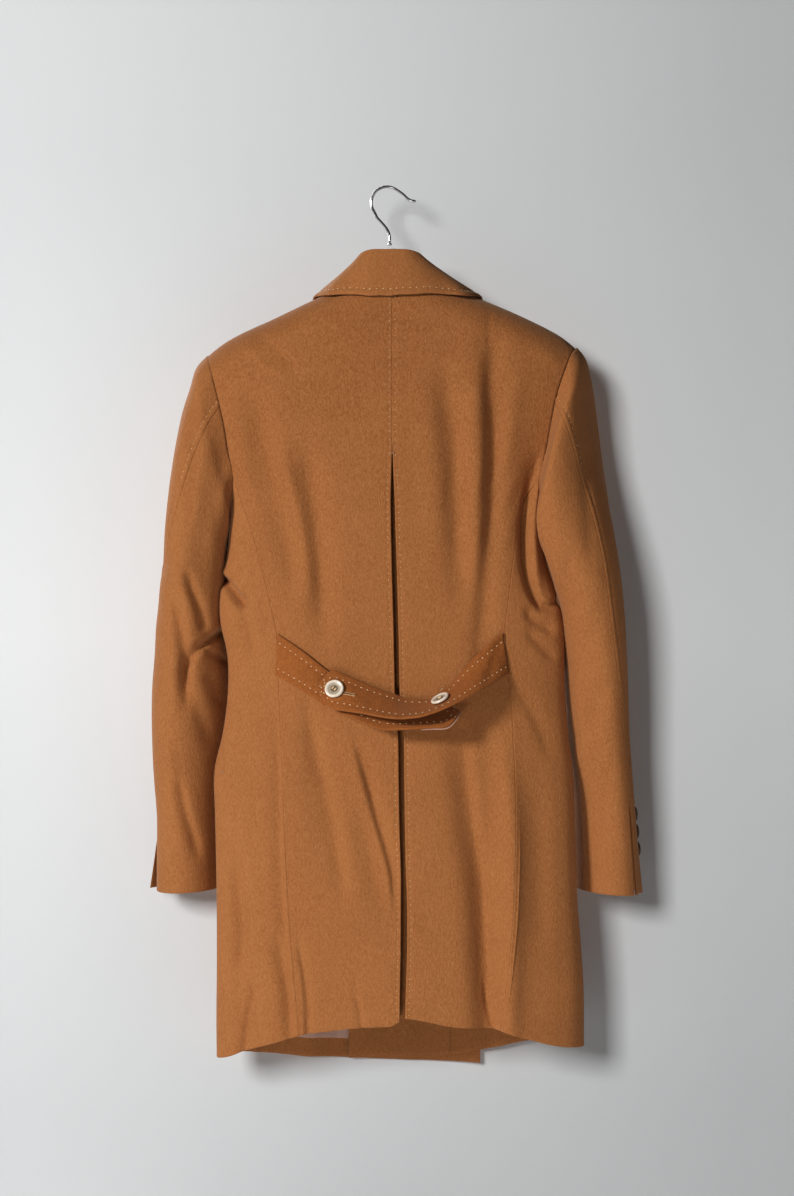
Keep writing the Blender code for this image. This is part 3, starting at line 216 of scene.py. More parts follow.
# ------------------------ skins of the solids
class Skin:
    """The outer skin of a cloth solid, read back as rows and columns of points.

    Corners of the solid closer than WELD_STEP are one point. A side of a triangle belongs to the
    cloth's rim where its length is between two of the shares of the wall in RIM_SIDES: the first
    pair suits most pieces, and the second those with other sides about as short.
    """

    WELD_STEP = 1e-6
    RIM_SIDES = ((0.0, 1.22), (0.97, 1.03))
    CORNERS_TRIED = 8

    def __init__(self, node: str, wall: float, rows_run: Sequence[float],
                 columns_run: Sequence[float]) -> None:
        """Read the skin.

        Args:
            node: The solid's name in the frame.
            wall: The thickness of its cloth.
            rows_run: The direction from the first row to the last.
            columns_run: The direction from the first column to the last.
        """
        points, faces = self.welded(node)
        order = None
        for low, high in self.RIM_SIDES:
            triangles = self._without_rim(points, faces, wall * low, wall * high)
            triangles = self._larger_layer(points, triangles)
            order = self._in_rows(points, triangles)
            if order is not None:
                break
        if order is None:
            raise ValueError(node + " isn't made of rows and columns")
        order = self._laid(points, order, np.array(rows_run), np.array(columns_run))
        self.grid = points[order]
        away = np.zeros_like(points)
        corners = points[triangles]
        normals = np.cross(corners[:, 1] - corners[:, 0], corners[:, 2] - corners[:, 0])
        for corner in range(3):
            np.add.at(away, triangles[:, corner], normals)
        facing = np.sum(grid_normals(self.grid) * unit(away[order]))
        self.outward = 1.0 if facing > 0.0 else -1.0

    @classmethod
    def welded(cls, node: str) -> tuple[Array, Array]:
        """Points and triangles of a node, with its split corners joined again."""
        mesh = frame["nodes"][node].data
        points = np.array([vertex.co for vertex in mesh.vertices], dtype=float)
        keys = np.round(points / cls.WELD_STEP).astype(np.int64)
        _, first, index = np.unique(keys, axis=0, return_index=True, return_inverse=True)
        index = index.ravel()
        corners = np.array([list(face.vertices) for face in mesh.polygons])
        return points[first], index[corners]

    @staticmethod
    def _without_rim(points: Array, triangles: Array, low: float, high: float) -> Array:
        """Leave out the triangles with a side as long as the cloth is thick."""
        lengths = np.linalg.norm(points[triangles] - points[np.roll(triangles, 1, axis=1)], axis=2)
        crosses = (lengths > low) & (lengths < high)
        return triangles[~crosses.any(axis=1)]

    @staticmethod
    def _larger_layer(points: Array, triangles: Array) -> Array:
        """The layer of the wall with the larger area."""
        corners = points[triangles]
        normals = np.cross(corners[:, 1] - corners[:, 0], corners[:, 2] - corners[:, 0])
        areas = np.linalg.norm(normals, axis=1)
        owner: dict[tuple[int, int], int] = {}
        pairs = []
        for number, face in enumerate(triangles.tolist()):
            for a, b in zip(face, face[1:] + face[:1]):
                owner[a, b] = number
                other = owner.get((b, a))
                if other is not None:
                    pairs.append((number, other))
        first, second = np.array(pairs).T
        label = np.arange(len(triangles))
        before = np.zeros_like(label)
        while not np.array_equal(before, label):
            before = label.copy()
            lowest = np.minimum(label[first], label[second])
            np.minimum.at(label, first, lowest)
            np.minimum.at(label, second, lowest)
        best = max(np.unique(label), key=lambda name: areas[label == name].sum())
        return triangles[label == best]

    @classmethod
    def _in_rows(cls, points: Array, triangles: Array) -> Array | None:
        """Put the vertices of a layer in rows and columns, starting from one of its corners."""
        third: dict[tuple[int, int], int] = {}
        uses: dict[int, int] = {}
        turn: dict[int, float] = {}
        for face in triangles.tolist():
            for k in range(3):
                a, b, c = face[k], face[(k + 1) % 3], face[(k + 2) % 3]
                third[a, b] = c
                uses[a] = uses.get(a, 0) + 1
                first, second = unit(points[b] - points[a]), unit(points[c] - points[a])
                turn[a] = turn.get(a, 0.0) + math.acos(float(np.clip(first @ second, -1.0, 1.0)))
        following = {a: b for a, b in third if (b, a) not in third}
        before = {b: a for a, b in following.items()}
        corners = sorted((v for v in following if uses[v] <= 2), key=lambda v: turn[v])
        corners = corners[:cls.CORNERS_TRIED]
        for start in corners:
            row = [start]
            while following[row[-1]] != start and len(row) < len(following):
                row.append(following[row[-1]])
                if row[-1] not in corners or len(uses) % len(row):
                    continue
                found = cls._walk(row, len(uses), third, before)
                if found is not None:
                    return found
        return None

    @staticmethod
    def _walk(first_row: list[int], total: int, third: dict[tuple[int, int], int],
              before: dict[int, int]) -> Array | None:
        """Step from row to row over the layer's triangles.

        Args:
            first_row: The vertices of one edge, from corner to corner.
            total: How many vertices the layer has.
            third: The third corner of the triangle on each directed side.
            before: The vertex before each one round the border.

        Returns:
            The rows of vertices, or None where that edge isn't a row.
        """
        rows = [list(first_row)]
        seen = set(first_row)
        while len(seen) < total:
            above = rows[-1]
            row = [before.get(above[0], -1)]
            for upper, after in zip(above, above[1:]):
                corner = third.get((row[-1], upper), -1)
                if corner == after:
                    corner = third.get((row[-1], after), -1)
                row.append(corner)
            if -1 in row or seen.intersection(row) or len(set(row)) < len(row):
                return None
            seen.update(row)
            rows.append(row)
        return np.array(rows)

    @staticmethod
    def _laid(points: Array, order: Array, rows_run: Array, columns_run: Array) -> Array:
        """Turn and flip the rows so that they run the way that they are named."""
        def spread(grid: Array) -> tuple[Array, Array]:
            """Mean directions along the rows' and the columns' order."""
            placed = points[grid]
            return (unit(placed[-1].mean(axis=0) - placed[0].mean(axis=0)),
                    unit(placed[:, -1].mean(axis=0) - placed[:, 0].mean(axis=0)))

        down, across = spread(order)
        if abs(down @ columns_run) + abs(across @ rows_run) > (
                abs(down @ rows_run) + abs(across @ columns_run)):
            order = order.T
            down, across = across, down
        if down @ rows_run < 0.0:
            order = order[::-1]
        if across @ columns_run < 0.0:
            order = order[:, ::-1]
        return order


# ------------------------ creases
# Distance between the points at which a crease's line is read.
CREASE_STEP = 0.010
# How many widths off its line a crease still acts.
CREASE_REACH = 3.0
# The share of its line over which it swells at its start, and again fades at its end.
CREASE_TAPER = 0.28
# It starts to show where the cloth faces its side this squarely, and is full this much later.
FACING_FROM, FACING_SPAN = 0.05, 0.40


@dataclass(frozen=True)
class Crease:
    """A soft trough, or a ridge where its depth is negative, down a line on the cloth.

    The line runs through places given as (aside, up) seen from the side that the crease faces: aside
    is X on the back and the front, and Y on the outer sides. The two widths are those of its slopes
    towards the smaller and towards the larger aside, where the line runs down.
    """

    depth: float
    widths: tuple[float, float]
    places: tuple[Place, ...]
    facing: Facing

    def push(self, points: Array, away: Array) -> Array:
        """How far the crease pushes points inwards.

        Args:
            points: The points of the cloth.
            away: The outward direction at each of them.

        Returns:
            The distances, along `away` reversed.
        """
        axis, sign = self.facing.value
        line = even_line(np.array(self.places), CREASE_STEP)
        place = np.stack([points[..., 1 - axis], points[..., 2]], axis=-1)
        reach = CREASE_REACH * max(self.widths)
        near = (place > line.min(axis=0) - reach) & (place < line.max(axis=0) + reach)
        near = near.all(axis=-1) & (away[..., axis] * sign > 0.0)
        pushed = np.zeros(near.shape)
        place = place[near]
        nearest = np.full(len(place), np.inf)
        along, side = np.zeros(len(place)), np.zeros(len(place))
        for i, (a, b) in enumerate(zip(line, line[1:])):
            run = b - a
            t = np.clip(((place - a) @ run) / float(run @ run), 0.0, 1.0)
            off = place - a - t[:, None] * run
            gap = np.linalg.norm(off, axis=1)
            closer = gap < nearest
            nearest[closer] = gap[closer]
            along[closer] = (i + t[closer]) / (len(line) - 1)
            side[closer] = (off[:, 1] * run[0] - off[:, 0] * run[1])[closer]
        width = np.where(side > 0.0, self.widths[1], self.widths[0])
        swell = smooth(along / CREASE_TAPER) * smooth((1.0 - along) / CREASE_TAPER)
        seen = smooth((away[..., axis][near] * sign - FACING_FROM) / FACING_SPAN)
        pushed[near] = self.depth * swell * seen * np.exp(-(nearest / width) ** 2)
        return pushed


def creases(facing: Facing, *rows: tuple) -> tuple[Crease, ...]:
    """Creases that face one way.

    Args:
        facing: The way that they face.
        *rows: The depth, the two widths and then the places of each.

    Returns:
        The creases, in the same order.
    """
    return tuple(Crease(depth, widths, tuple(places), facing) for depth, widths, *places in rows)


def gentle_waves(points: Array, depth: float) -> Array:
    """The slight unevenness of hanging wool, as pushes inwards.

    Args:
        points: The points of the cloth.
        depth: The height of the slow waves; the quick ones are about a third of it.

    Returns:
        The distances. The numbers in the sines are radians a metre, so the slow waves are 0.2 m
        to 0.9 m long and the quick ones 0.08 m to 0.4 m.
    """
    x, y, z = points[..., 0], points[..., 1], points[..., 2]
    slow = np.sin(31.0 * x + 9.0 * z + 1.7 * np.sin(11.0 * z)) * np.sin(7.0 * z + 13.0 * y + 0.6)
    quick = np.sin(74.0 * x - 21.0 * z + 2.2 * np.sin(17.0 * z + 1.0)) * np.sin(15.0 * z + 40.0 * y)
    return depth * (slow + 0.35 * quick)


BELT_CREASES = {
    Side.LEFT: (),
    Side.RIGHT: creases(
        Facing.BACK,
        (0.0017, (0.0045, 0.0095), (0.134, -0.538), (0.131, -0.549), (0.1239, -0.567),
         (0.119, -0.583), (0.1075, -0.604)),
        (0.001, (0.003, 0.004), (0.126, -0.578), (0.118, -0.585), (0.106, -0.588)),
        (0.0009, (0.0028, 0.0036), (0.124, -0.588), (0.115, -0.596), (0.103, -0.6)),
        (0.0014, (0.01, 0.012), (-0.042, -0.595), (-0.03, -0.612), (-0.01, -0.625)),
        (0.0012, (0.009, 0.011), (0.006, -0.612), (0.024, -0.624), (0.046, -0.628)),
    ),
}

BODY_CREASES = creases(
    Facing.BACK,
    # back, upper right
    (0.0054, (0.0105, 0.013), (0.121, -0.13), (0.122, -0.223), (0.122, -0.273), (0.121, -0.322),
     (0.12, -0.372), (0.116, -0.446), (0.111, -0.52), (0.104, -0.585), (0.098, -0.64)),
    (0.0013, (0.0022, 0.0022), (0.1185, -0.145), (0.1185, -0.175), (0.119, -0.208)),
    (0.001, (0.0022, 0.0022), (0.1325, -0.145), (0.1325, -0.175), (0.1325, -0.206)),
    (-0.0039, (0.0135, 0.0095), (0.104, -0.21), (0.107, -0.314), (0.107, -0.384), (0.103, -0.5)),
    (0.0048, (0.0165, 0.0125), (0.06, -0.195), (0.065, -0.236), (0.075, -0.297), (0.08, -0.372),
     (0.083, -0.446), (0.086, -0.535)),
    (-0.0024, (0.0182, 0.0156), (0.04, -0.24), (0.052, -0.33), (0.058, -0.46)),
    # groove beside the right underarm, and the cloth that bulges out beyond it
    (0.0125, (0.0068, 0.0036), (0.179, -0.318), (0.1736, -0.348), (0.168, -0.379), (0.163, -0.415),
     (0.162, -0.44), (0.165, -0.471), (0.1737, -0.496), (0.184, -0.509), (0.1956, -0.508),
     (0.206, -0.498), (0.216, -0.48)),
    (-0.006, (0.005, 0.009), (0.174, -0.33), (0.169, -0.397), (0.171, -0.443), (0.176, -0.48),
     (0.188, -0.5)),
    (0.0048, (0.0064, 0.0096), (0.163, -0.505), (0.168, -0.522), (0.184, -0.533), (0.203, -0.54)),
    (0.0032, (0.006, 0.009), (0.158, -0.535), (0.17, -0.546), (0.19, -0.566), (0.203, -0.575)),
    (0.0024, (0.0075, 0.0115), (0.138, -0.59), (0.161, -0.621), (0.181, -0.659), (0.193, -0.7)),
    # back, upper left
    (0.0074, (0.015, 0.016), (-0.168, -0.235), (-0.155, -0.288), (-0.14, -0.342), (-0.123, -0.397),
     (-0.113, -0.454), (-0.108, -0.51)),
    (-0.0062, (0.0137, 0.01), (-0.14, -0.29), (-0.123, -0.347), (-0.106, -0.409), (-0.098, -0.454),
     (-0.092, -0.53)),
    (0.0059, (0.0112, 0.0163), (-0.106, -0.29), (-0.089, -0.397), (-0.083, -0.454), (-0.076, -0.56)),
    (-0.0016, (0.005, 0.005), (-0.178, -0.19), (-0.15, -0.219), (-0.112, -0.246)),
    (0.0016, (0.006, 0.006), (-0.166, -0.178), (-0.135, -0.206), (-0.1, -0.232)),
    (-0.0011, (0.0035, 0.0035), (-0.121, -0.186), (-0.069, -0.179), (0.001, -0.166)),
    (-0.001, (0.003, 0.003), (0.074, -0.224), (0.095, -0.2225), (0.113, -0.222)),
    # folded edge at the left underarm
    (-0.0056, (0.005, 0.005), (-0.203, -0.462), (-0.19, -0.474), (-0.178, -0.489), (-0.166, -0.502)),
    (0.0136, (0.0046, 0.0109), (-0.206, -0.47), (-0.192, -0.484), (-0.18, -0.5), (-0.166, -0.515)),
    (0.0032, (0.008, 0.006), (-0.176, -0.5), (-0.165, -0.54), (-0.16, -0.58)),
    # below the belt
    (0.01, (0.019, 0.0095), (0.066, -0.6), (0.081, -0.642), (0.09, -0.703), (0.098, -0.772),
     (0.11, -0.842), (0.114, -0.897), (0.12, -0.966), (0.128, -1.1)),
    (-0.0051, (0.011, 0.013), (0.128, -0.64), (0.142, -0.737), (0.146, -0.855), (0.143, -0.972),
     (0.143, -1.1)),
    (0.0023, (0.003, 0.003), (0.113, -0.94), (0.117, -0.98), (0.125, -1.012), (0.13, -1.06)),
    (0.0021, (0.0143, 0.0143), (0.172, -0.7), (0.176, -0.8), (0.18, -0.93)),
    (-0.0028, (0.013, 0.004), (-0.052, -0.65), (-0.036, -0.703), (-0.02, -0.764), (-0.003, -0.819),
     (0.004, -0.88)),
    (0.0042, (0.003, 0.011), (-0.044, -0.655), (-0.03, -0.703), (-0.013, -0.764), (0.002, -0.819),
     (0.006, -0.88)),
    (0.0043, (0.01, 0.008), (-0.1, -0.6), (-0.089, -0.67), (-0.072, -0.736), (-0.061, -0.8),
     (-0.05, -0.88)),
    (0.0029, (0.009, 0.0025), (-0.134, -0.6), (-0.131, -0.7), (-0.127, -0.84), (-0.12, -0.94),
     (-0.113, -1.06)),
    (0.0051, (0.008, 0.01), (-0.181, -0.79), (-0.18, -0.85), (-0.175, -0.897), (-0.181, -0.96)),
    (0.0043, (0.005, 0.008), (-0.158, -0.935), (-0.161, -0.966), (-0.169, -1.008), (-0.176, -1.09)),
    (0.0039, (0.008, 0.005), (-0.134, -0.88), (-0.13, -0.919), (-0.12, -0.964), (-0.117, -1.04)),
    (0.0032, (0.003, 0.007), (-0.109, -0.88), (-0.105, -0.916), (-0.099, -0.952), (-0.102, -1.09)),
    (0.0019, (0.004, 0.004), (-0.044, -0.945), (-0.034, -0.989), (-0.03, -1.06)),
) + creases(
    Facing.FRONT,
    (0.0031, (0.011, 0.014), (-0.118, -0.23), (-0.132, -0.33), (-0.14, -0.44), (-0.128, -0.56)),
    (-0.0018, (0.012, 0.012), (-0.1, -0.3), (-0.108, -0.42), (-0.102, -0.54)),
    (0.0034, (0.012, 0.01), (0.128, -0.24), (0.136, -0.35), (0.132, -0.47), (0.142, -0.56)),
    (0.0026, (0.008, 0.012), (0.03, -0.5), (0.06, -0.54), (0.11, -0.56)),
    (0.0042, (0.013, 0.011), (-0.08, -0.64), (-0.092, -0.76), (-0.098, -0.9), (-0.104, -1.12)),
    (-0.0021, (0.012, 0.014), (-0.055, -0.7), (-0.066, -0.85), (-0.07, -1.12)),
    (0.0044, (0.011, 0.013), (0.118, -0.66), (0.13, -0.79), (0.138, -0.93), (0.14, -1.12)),
    (0.0026, (0.012, 0.012), (0.02, -0.78), (0.026, -0.9), (0.02, -1.12)),
    (0.0021, (0.009, 0.009), (-0.168, -0.56), (-0.16, -0.64), (-0.164, -0.72)),
) + creases(
    Facing.LEFT,
    (-0.0056, (0.03, 0.03), (-0.05, -0.33), (-0.05, -0.43), (-0.045, -0.56)),
    (0.0034, (0.011, 0.011), (-0.02, -0.5), (-0.01, -0.64), (0.004, -0.8)),
    (0.0029, (0.01, 0.012), (0.02, -0.82), (0.014, -0.94), (0.01, -1.12)),
) + creases(
    Facing.RIGHT,
    (0.0034, (0.011, 0.011), (0.012, -0.52), (0.004, -0.66), (-0.004, -0.82)),
    (0.0031, (0.012, 0.01), (-0.022, -0.83), (-0.016, -0.95), (-0.012, -1.12)),
)

SLEEVE_CREASES = {
    Side.LEFT: creases(
        Facing.RIGHT,
        (-0.0065, (0.03, 0.03), (-0.04, -0.33), (-0.04, -0.45), (-0.04, -0.56)),
    ) + creases(
        Facing.BACK,
        (0.0084, (0.007, 0.0085), (-0.262, -0.48), (-0.255, -0.506), (-0.244, -0.568),
         (-0.243, -0.607), (-0.245, -0.65)),
        (0.0071, (0.0065, 0.006), (-0.241, -0.46), (-0.235, -0.483), (-0.222, -0.522),
         (-0.22, -0.55)),
        (-0.0038, (0.006, 0.005), (-0.19, -0.526), (-0.203, -0.534), (-0.216, -0.543),
         (-0.23, -0.556)),
        (0.0101, (0.0085, 0.003), (-0.186, -0.534), (-0.201, -0.542), (-0.214, -0.551),
         (-0.228, -0.563), (-0.24, -0.58), (-0.243, -0.62)),
        (0.0034, (0.005, 0.004), (-0.224, -0.558), (-0.21, -0.567), (-0.19, -0.581)),
        (0.003, (0.007, 0.006), (-0.216, -0.585), (-0.212, -0.6), (-0.204, -0.635)),
        (0.0032, (0.009, 0.009), (-0.24, -0.595), (-0.233, -0.621), (-0.221, -0.659),
         (-0.214, -0.69)),
        (0.0052, (0.008, 0.006), (-0.258, -0.705), (-0.252, -0.73), (-0.245, -0.761),
         (-0.235, -0.794), (-0.23, -0.825)),
        (-0.002, (0.008, 0.006), (-0.268, -0.66), (-0.262, -0.7), (-0.256, -0.75)),
        (0.0023, (0.009, 0.009), (-0.236, -0.25), (-0.232, -0.33), (-0.238, -0.42)),
    ) + creases(
        Facing.FRONT,
        (0.0032, (0.009, 0.009), (-0.236, -0.44), (-0.24, -0.52), (-0.25, -0.6)),
        (0.0035, (0.01, 0.01), (-0.246, -0.62), (-0.24, -0.7), (-0.246, -0.79)),
    ) + creases(
        Facing.LEFT,
        (0.0026, (0.01, 0.01), (0.0, -0.33), (0.014, -0.45), (0.02, -0.56)),
        (0.0032, (0.009, 0.011), (0.04, -0.56), (0.032, -0.65), (0.03, -0.76)),
    ),
    Side.RIGHT: creases(
        Facing.LEFT,
        (-0.0042, (0.03, 0.03), (-0.04, -0.44), (-0.04, -0.6), (-0.035, -0.76)),
    ) + creases(
        Facing.BACK,
        (0.0029, (0.011, 0.01), (0.254, -0.59), (0.248, -0.63), (0.233, -0.662), (0.224, -0.69)),
        (-0.0023, (0.006, 0.008), (0.222, -0.5), (0.225, -0.574), (0.229, -0.646), (0.235, -0.76)),
        (0.0023, (0.008, 0.009), (0.236, -0.3), (0.232, -0.38), (0.238, -0.47)),
        (0.0026, (0.006, 0.008), (0.206, -0.44), (0.214, -0.49), (0.222, -0.53)),
        (0.002, (0.009, 0.009), (0.262, -0.68), (0.258, -0.74), (0.262, -0.81)),
    ) + creases(
        Facing.FRONT,
        (0.0035, (0.009, 0.011), (0.24, -0.43), (0.246, -0.52), (0.256, -0.6)),
        (0.0032, (0.011, 0.009), (0.256, -0.62), (0.25, -0.7), (0.254, -0.79)),
    ) + creases(
        Facing.RIGHT,
        (0.0026, (0.01, 0.01), (-0.02, -0.34), (-0.01, -0.45), (-0.016, -0.56)),
        (0.0029, (0.009, 0.011), (0.016, -0.56), (0.01, -0.65), (0.014, -0.75)),
    ),
}


# The elbow seams' lines over the back of the sleeves, as (x, z) from the shoulder down.
ELBOW_SEAMS = {
    Side.LEFT: ((-0.2026, -0.272), (-0.218, -0.3), (-0.2328, -0.334), (-0.2486, -0.386),
                (-0.259, -0.423)),
    Side.RIGHT: ((0.196, -0.27), (0.212, -0.3071), (0.2262, -0.3582), (0.2385, -0.3992),
                 (0.246, -0.4299), (0.251, -0.4541), (0.262, -0.5367), (0.2755, -0.6206),
                 (0.2835, -0.7088), (0.2935, -0.8308), (0.2975, -0.87)),
}


# ------------------------ pieces of cloth
@dataclass(frozen=True)
class Cut:
    """One cut piece: its solid, its cloth, and how it is read and drawn.

    The pairs are for the rows and for the columns: the largest distance between them, and how far
    in from the edges they lie closer. The roll is how far in from its rim the cloth starts to round.
    """

    node: str
    wall: float
    rows_run: Spot = (0.0, 0.0, -1.0)
    columns_run: Spot = (1.0, 0.0, 0.0)
    step: Place = (0.005, 0.003)
    bands: Place = (0.0, 0.0)
    roll: float = 0.0006
    rests_on: str = "hanger"
    slot: str = "wool"
    finish: str = ""


@dataclass(frozen=True)
class Groove:
    """A groove at a steady distance from an edge of the cloth.

    A negative depth raises the cloth, the width is half of the groove's own, and the heights are the
    lowest and the highest Z that it reaches.
    """

    inset: float
    depth: float
    width: float
    heights: Place = ALL_HEIGHTS


class Panel:
    """A finished piece of cloth: its outer skin, its normals and its object."""

    GROOVE_FADE = 0.01
    LEAST_SLOPE = 0.2

    def __init__(self, cut: Cut, grid: Array, outward: float) -> None:
        """Keep the skin.

        Args:
            cut: What the piece is cut from.
            grid: Rows by columns of points of the outer skin.
            outward: 1 or -1, which turns the grid's own normals outwards.
        """
        self.cut = cut
        self.grid = grid
        self.outward = outward
        self.piece: Piece | None = None
        self.extras: list[Piece] = []

    @property
    def normals(self) -> Array:
        """Outward normals of the skin."""
        return grid_normals(self.grid) * self.outward

    def area(self) -> float:
        """Area of the skin."""
        g = self.grid
        one = np.cross(g[1:, 1:] - g[:-1, :-1], g[1:, :-1] - g[:-1, 1:])
        return float(np.linalg.norm(one, axis=2).sum() / 2.0)

    def line_inside(self, edge: Edge, inset: float) -> tuple[Array, Array]:
        """A line on the skin at a steady distance from one of its edges.

        Args:
            edge: The edge that the line follows.
            inset: Its distance from that edge, where the cloth is at least twice as wide.

        Returns:
            The points of the line and their normals.
        """
        grid, normals = seen_from(edge, self.grid), seen_from(edge, self.normals)
        reach = reach_along(grid)
        points, outs = [], []
        for column in range(grid.shape[1]):
            far = min(inset, float(reach[-1, column]) * 0.5)
            i = int(np.clip(np.searchsorted(reach[:, column], far) - 1, 0, len(grid) - 2))
            t = (far - reach[i, column]) / max(reach[i + 1, column] - reach[i, column], 1e-9)
            points.append(grid[i, column] * (1 - t) + grid[i + 1, column] * t)
            outs.append(normals[i, column] * (1 - t) + normals[i + 1, column] * t)
        return np.array(points), unit(np.array(outs))

    def press(self, edge: Edge, groove: Groove) -> None:
        """Press a groove into the skin along one of its edges."""
        grid, normals = seen_from(edge, self.grid), seen_from(edge, self.normals)
        reach = reach_along(grid)
        low, high = groove.heights
        push = groove.depth * np.exp(-((reach - groove.inset) / groove.width) ** 2)
        push *= smooth((grid[..., 2] - low) / self.GROOVE_FADE) * smooth(
            (high - grid[..., 2]) / self.GROOVE_FADE)
        grid -= normals * push[..., None]

    def under(self, aside: float, up: float, facing: Facing) -> tuple[Array, Array]:
        """The point of the skin nearest to a place seen from one side.

        Args:
            aside: X on the back and the front, Y on the outer sides.
            up: Z of the place.
            facing: The side that it is seen from.

        Returns:
            The point and its normal.
        """
        axis = facing.value[0]
        off = np.hypot(self.grid[..., 1 - axis] - aside, self.grid[..., 2] - up)
        at = np.unravel_index(int(np.argmin(off)), off.shape)
        normal = self.normals[at]
        step = np.zeros(3)
        step[1 - axis] = aside - self.grid[at][1 - axis]
        step[2] = up - self.grid[at][2]
        slope = normal[axis] if abs(normal[axis]) > self.LEAST_SLOPE else 1.0
        step[axis] = -(step @ normal) / slope
        return self.grid[at] + step, normal


def seen_from(edge: Edge, grid: Array) -> Array:
    """A grid as rows that start at one of its edges; changes to it reach the grid itself."""
    if edge in (Edge.FIRST, Edge.LAST):
        grid = turned(grid)
    return grid[::-1] if edge in (Edge.BOTTOM, Edge.LAST) else grid


RIM_TURNS = (math.pi / 4, math.pi / 2, 3 * math.pi / 4)


def shell(name: str, outer: Array, normals: Array, wall: float, roll: float) -> Piece:
    """Close a skin into a thin shell with rounded edges.

    Args:
        name: The object's name.
        outer: Rows by columns of points of the outer skin.
        normals: Its outward normals.
        wall: The thickness of the cloth.
        roll: How far in from its edge the cloth starts to round.

    Returns:
        The object.
    """
    rows, columns = outer.shape[:2]
    inward = np.zeros_like(outer)
    inward[0] += unit(outer[1] - outer[0])
    inward[-1] += unit(outer[-2] - outer[-1])
    inward[:, 0] += unit(outer[:, 1] - outer[:, 0])
    inward[:, -1] += unit(outer[:, -2] - outer[:, -1])
    top = outer + inward * roll
    low = top - normals * wall
    index = np.arange(rows * columns).reshape(rows, columns)
    border = np.concatenate([index[0, :-1], index[:-1, -1], index[-1, :0:-1], index[:0:-1, 0]])
    flat_outer, flat_in = outer.reshape(-1, 3), inward.reshape(-1, 3)
    flat_normals = normals.reshape(-1, 3)
    rings = []
    for turn in RIM_TURNS:
        pull = roll * (1.0 - math.sin(turn))
        depth = wall / 2.0 * (1.0 - math.cos(turn))
        rings.append(flat_outer[border] + flat_in[border] * pull - flat_normals[border] * depth)
    points = np.concatenate([top.reshape(-1, 3), low.reshape(-1, 3), *rings])
    count = rows * columns
    cell = np.stack([index[:-1, :-1], index[1:, :-1], index[1:, 1:], index[:-1, 1:]], axis=-1)
    cell = cell.reshape(-1, 4)
    faces = [cell, cell[:, ::-1] + count]
    size = len(border)
    turned_rings = [2 * count + k * size + np.arange(size) for k in range(len(RIM_TURNS))]
    levels = [border, *turned_rings, border + count]
    for upper, lower in zip(levels, levels[1:]):
        after, under = np.roll(upper, -1), np.roll(lower, -1)
        faces.append(np.stack([upper, after, under, lower], axis=-1))
    quads = np.concatenate(faces)
    middle = points.mean(axis=0)
    a, b, c, d = (points[quads[:, k]] - middle for k in range(4))
    volume = np.sum(a * np.cross(b, c)) + np.sum(a * np.cross(c, d))
    if volume < 0.0:
        quads = quads[:, ::-1]
    return mesh_object(name, points, quads)


def mesh_object(name: str, points: Array, faces: Iterable) -> Piece:
    """An object with a smooth mesh of these points and faces."""
    mesh = bpy.data.meshes.new(name)
    faces = faces.tolist() if isinstance(faces, Array) else list(faces)
    mesh.from_pydata(np.asarray(points, dtype=float).tolist(), [], faces)
    mesh.shade_smooth()
    piece = bpy.data.objects.new(name, mesh)
    bpy.context.scene.collection.objects.link(piece)
    return piece


def tube_faces(count: int, sides: int) -> list[list[int]]:
    """The faces of a closed tube.

    Args:
        count: How many rings it has.
        sides: How many points a ring has.

    Returns:
        The vertices of each face, the two flat ends last.
    """
    index = np.arange(count * sides).reshape(count, sides)
    after = np.roll(index, -1, axis=1)
    walls = np.stack([index[:-1], after[:-1], after[1:], index[1:]], axis=-1).reshape(-1, 4)
    return walls.tolist() + [index[0, ::-1].tolist(), index[-1].tolist()]


def lofted(name: str, rings: Array) -> Piece:
    """A closed tube through rings of points, with flat ends."""
    return mesh_object(name, rings.reshape(-1, 3), tube_faces(*rings.shape[:2]))


def lathe(name: str, profile: Sequence[Place], radius: float, height: float, sides: int,
          base: float = 0.0) -> Piece:
    """Turn a profile about the Z axis.

    Args:
        name: The object's name.
        profile: Shares of the radius and the height, from the bottom to the top.
        radius: Its largest radius.
        height: Its height.
        sides: How many points a ring has.
        base: The Z of its bottom.

    Returns:
        The object.
    """
    rings = [[(radius * r * math.cos(turn), radius * r * math.sin(turn), base + height * z)
              for turn in around(sides)] for r, z in profile]
    return lofted(name, np.array(rings))


# ------------------------ sewing
# A strand of thread: shares of its length from the middle, and of its radius, ring by ring.
STITCH_SHAPE = ((-0.5, 0.45), (-0.36, 0.9), (0.0, 1.0), (0.36, 0.9), (0.5, 0.45))
STITCH_SIDES = 6
# Its middle lies this many radii over the cloth, and its ends dip with the square of the share.
STITCH_LIFT, STITCH_DIP = 0.55, 2.4
# Three strands side by side, in steps from the middle one.
THREE_STRANDS = np.array([[-1.0], [0.0], [1.0]])


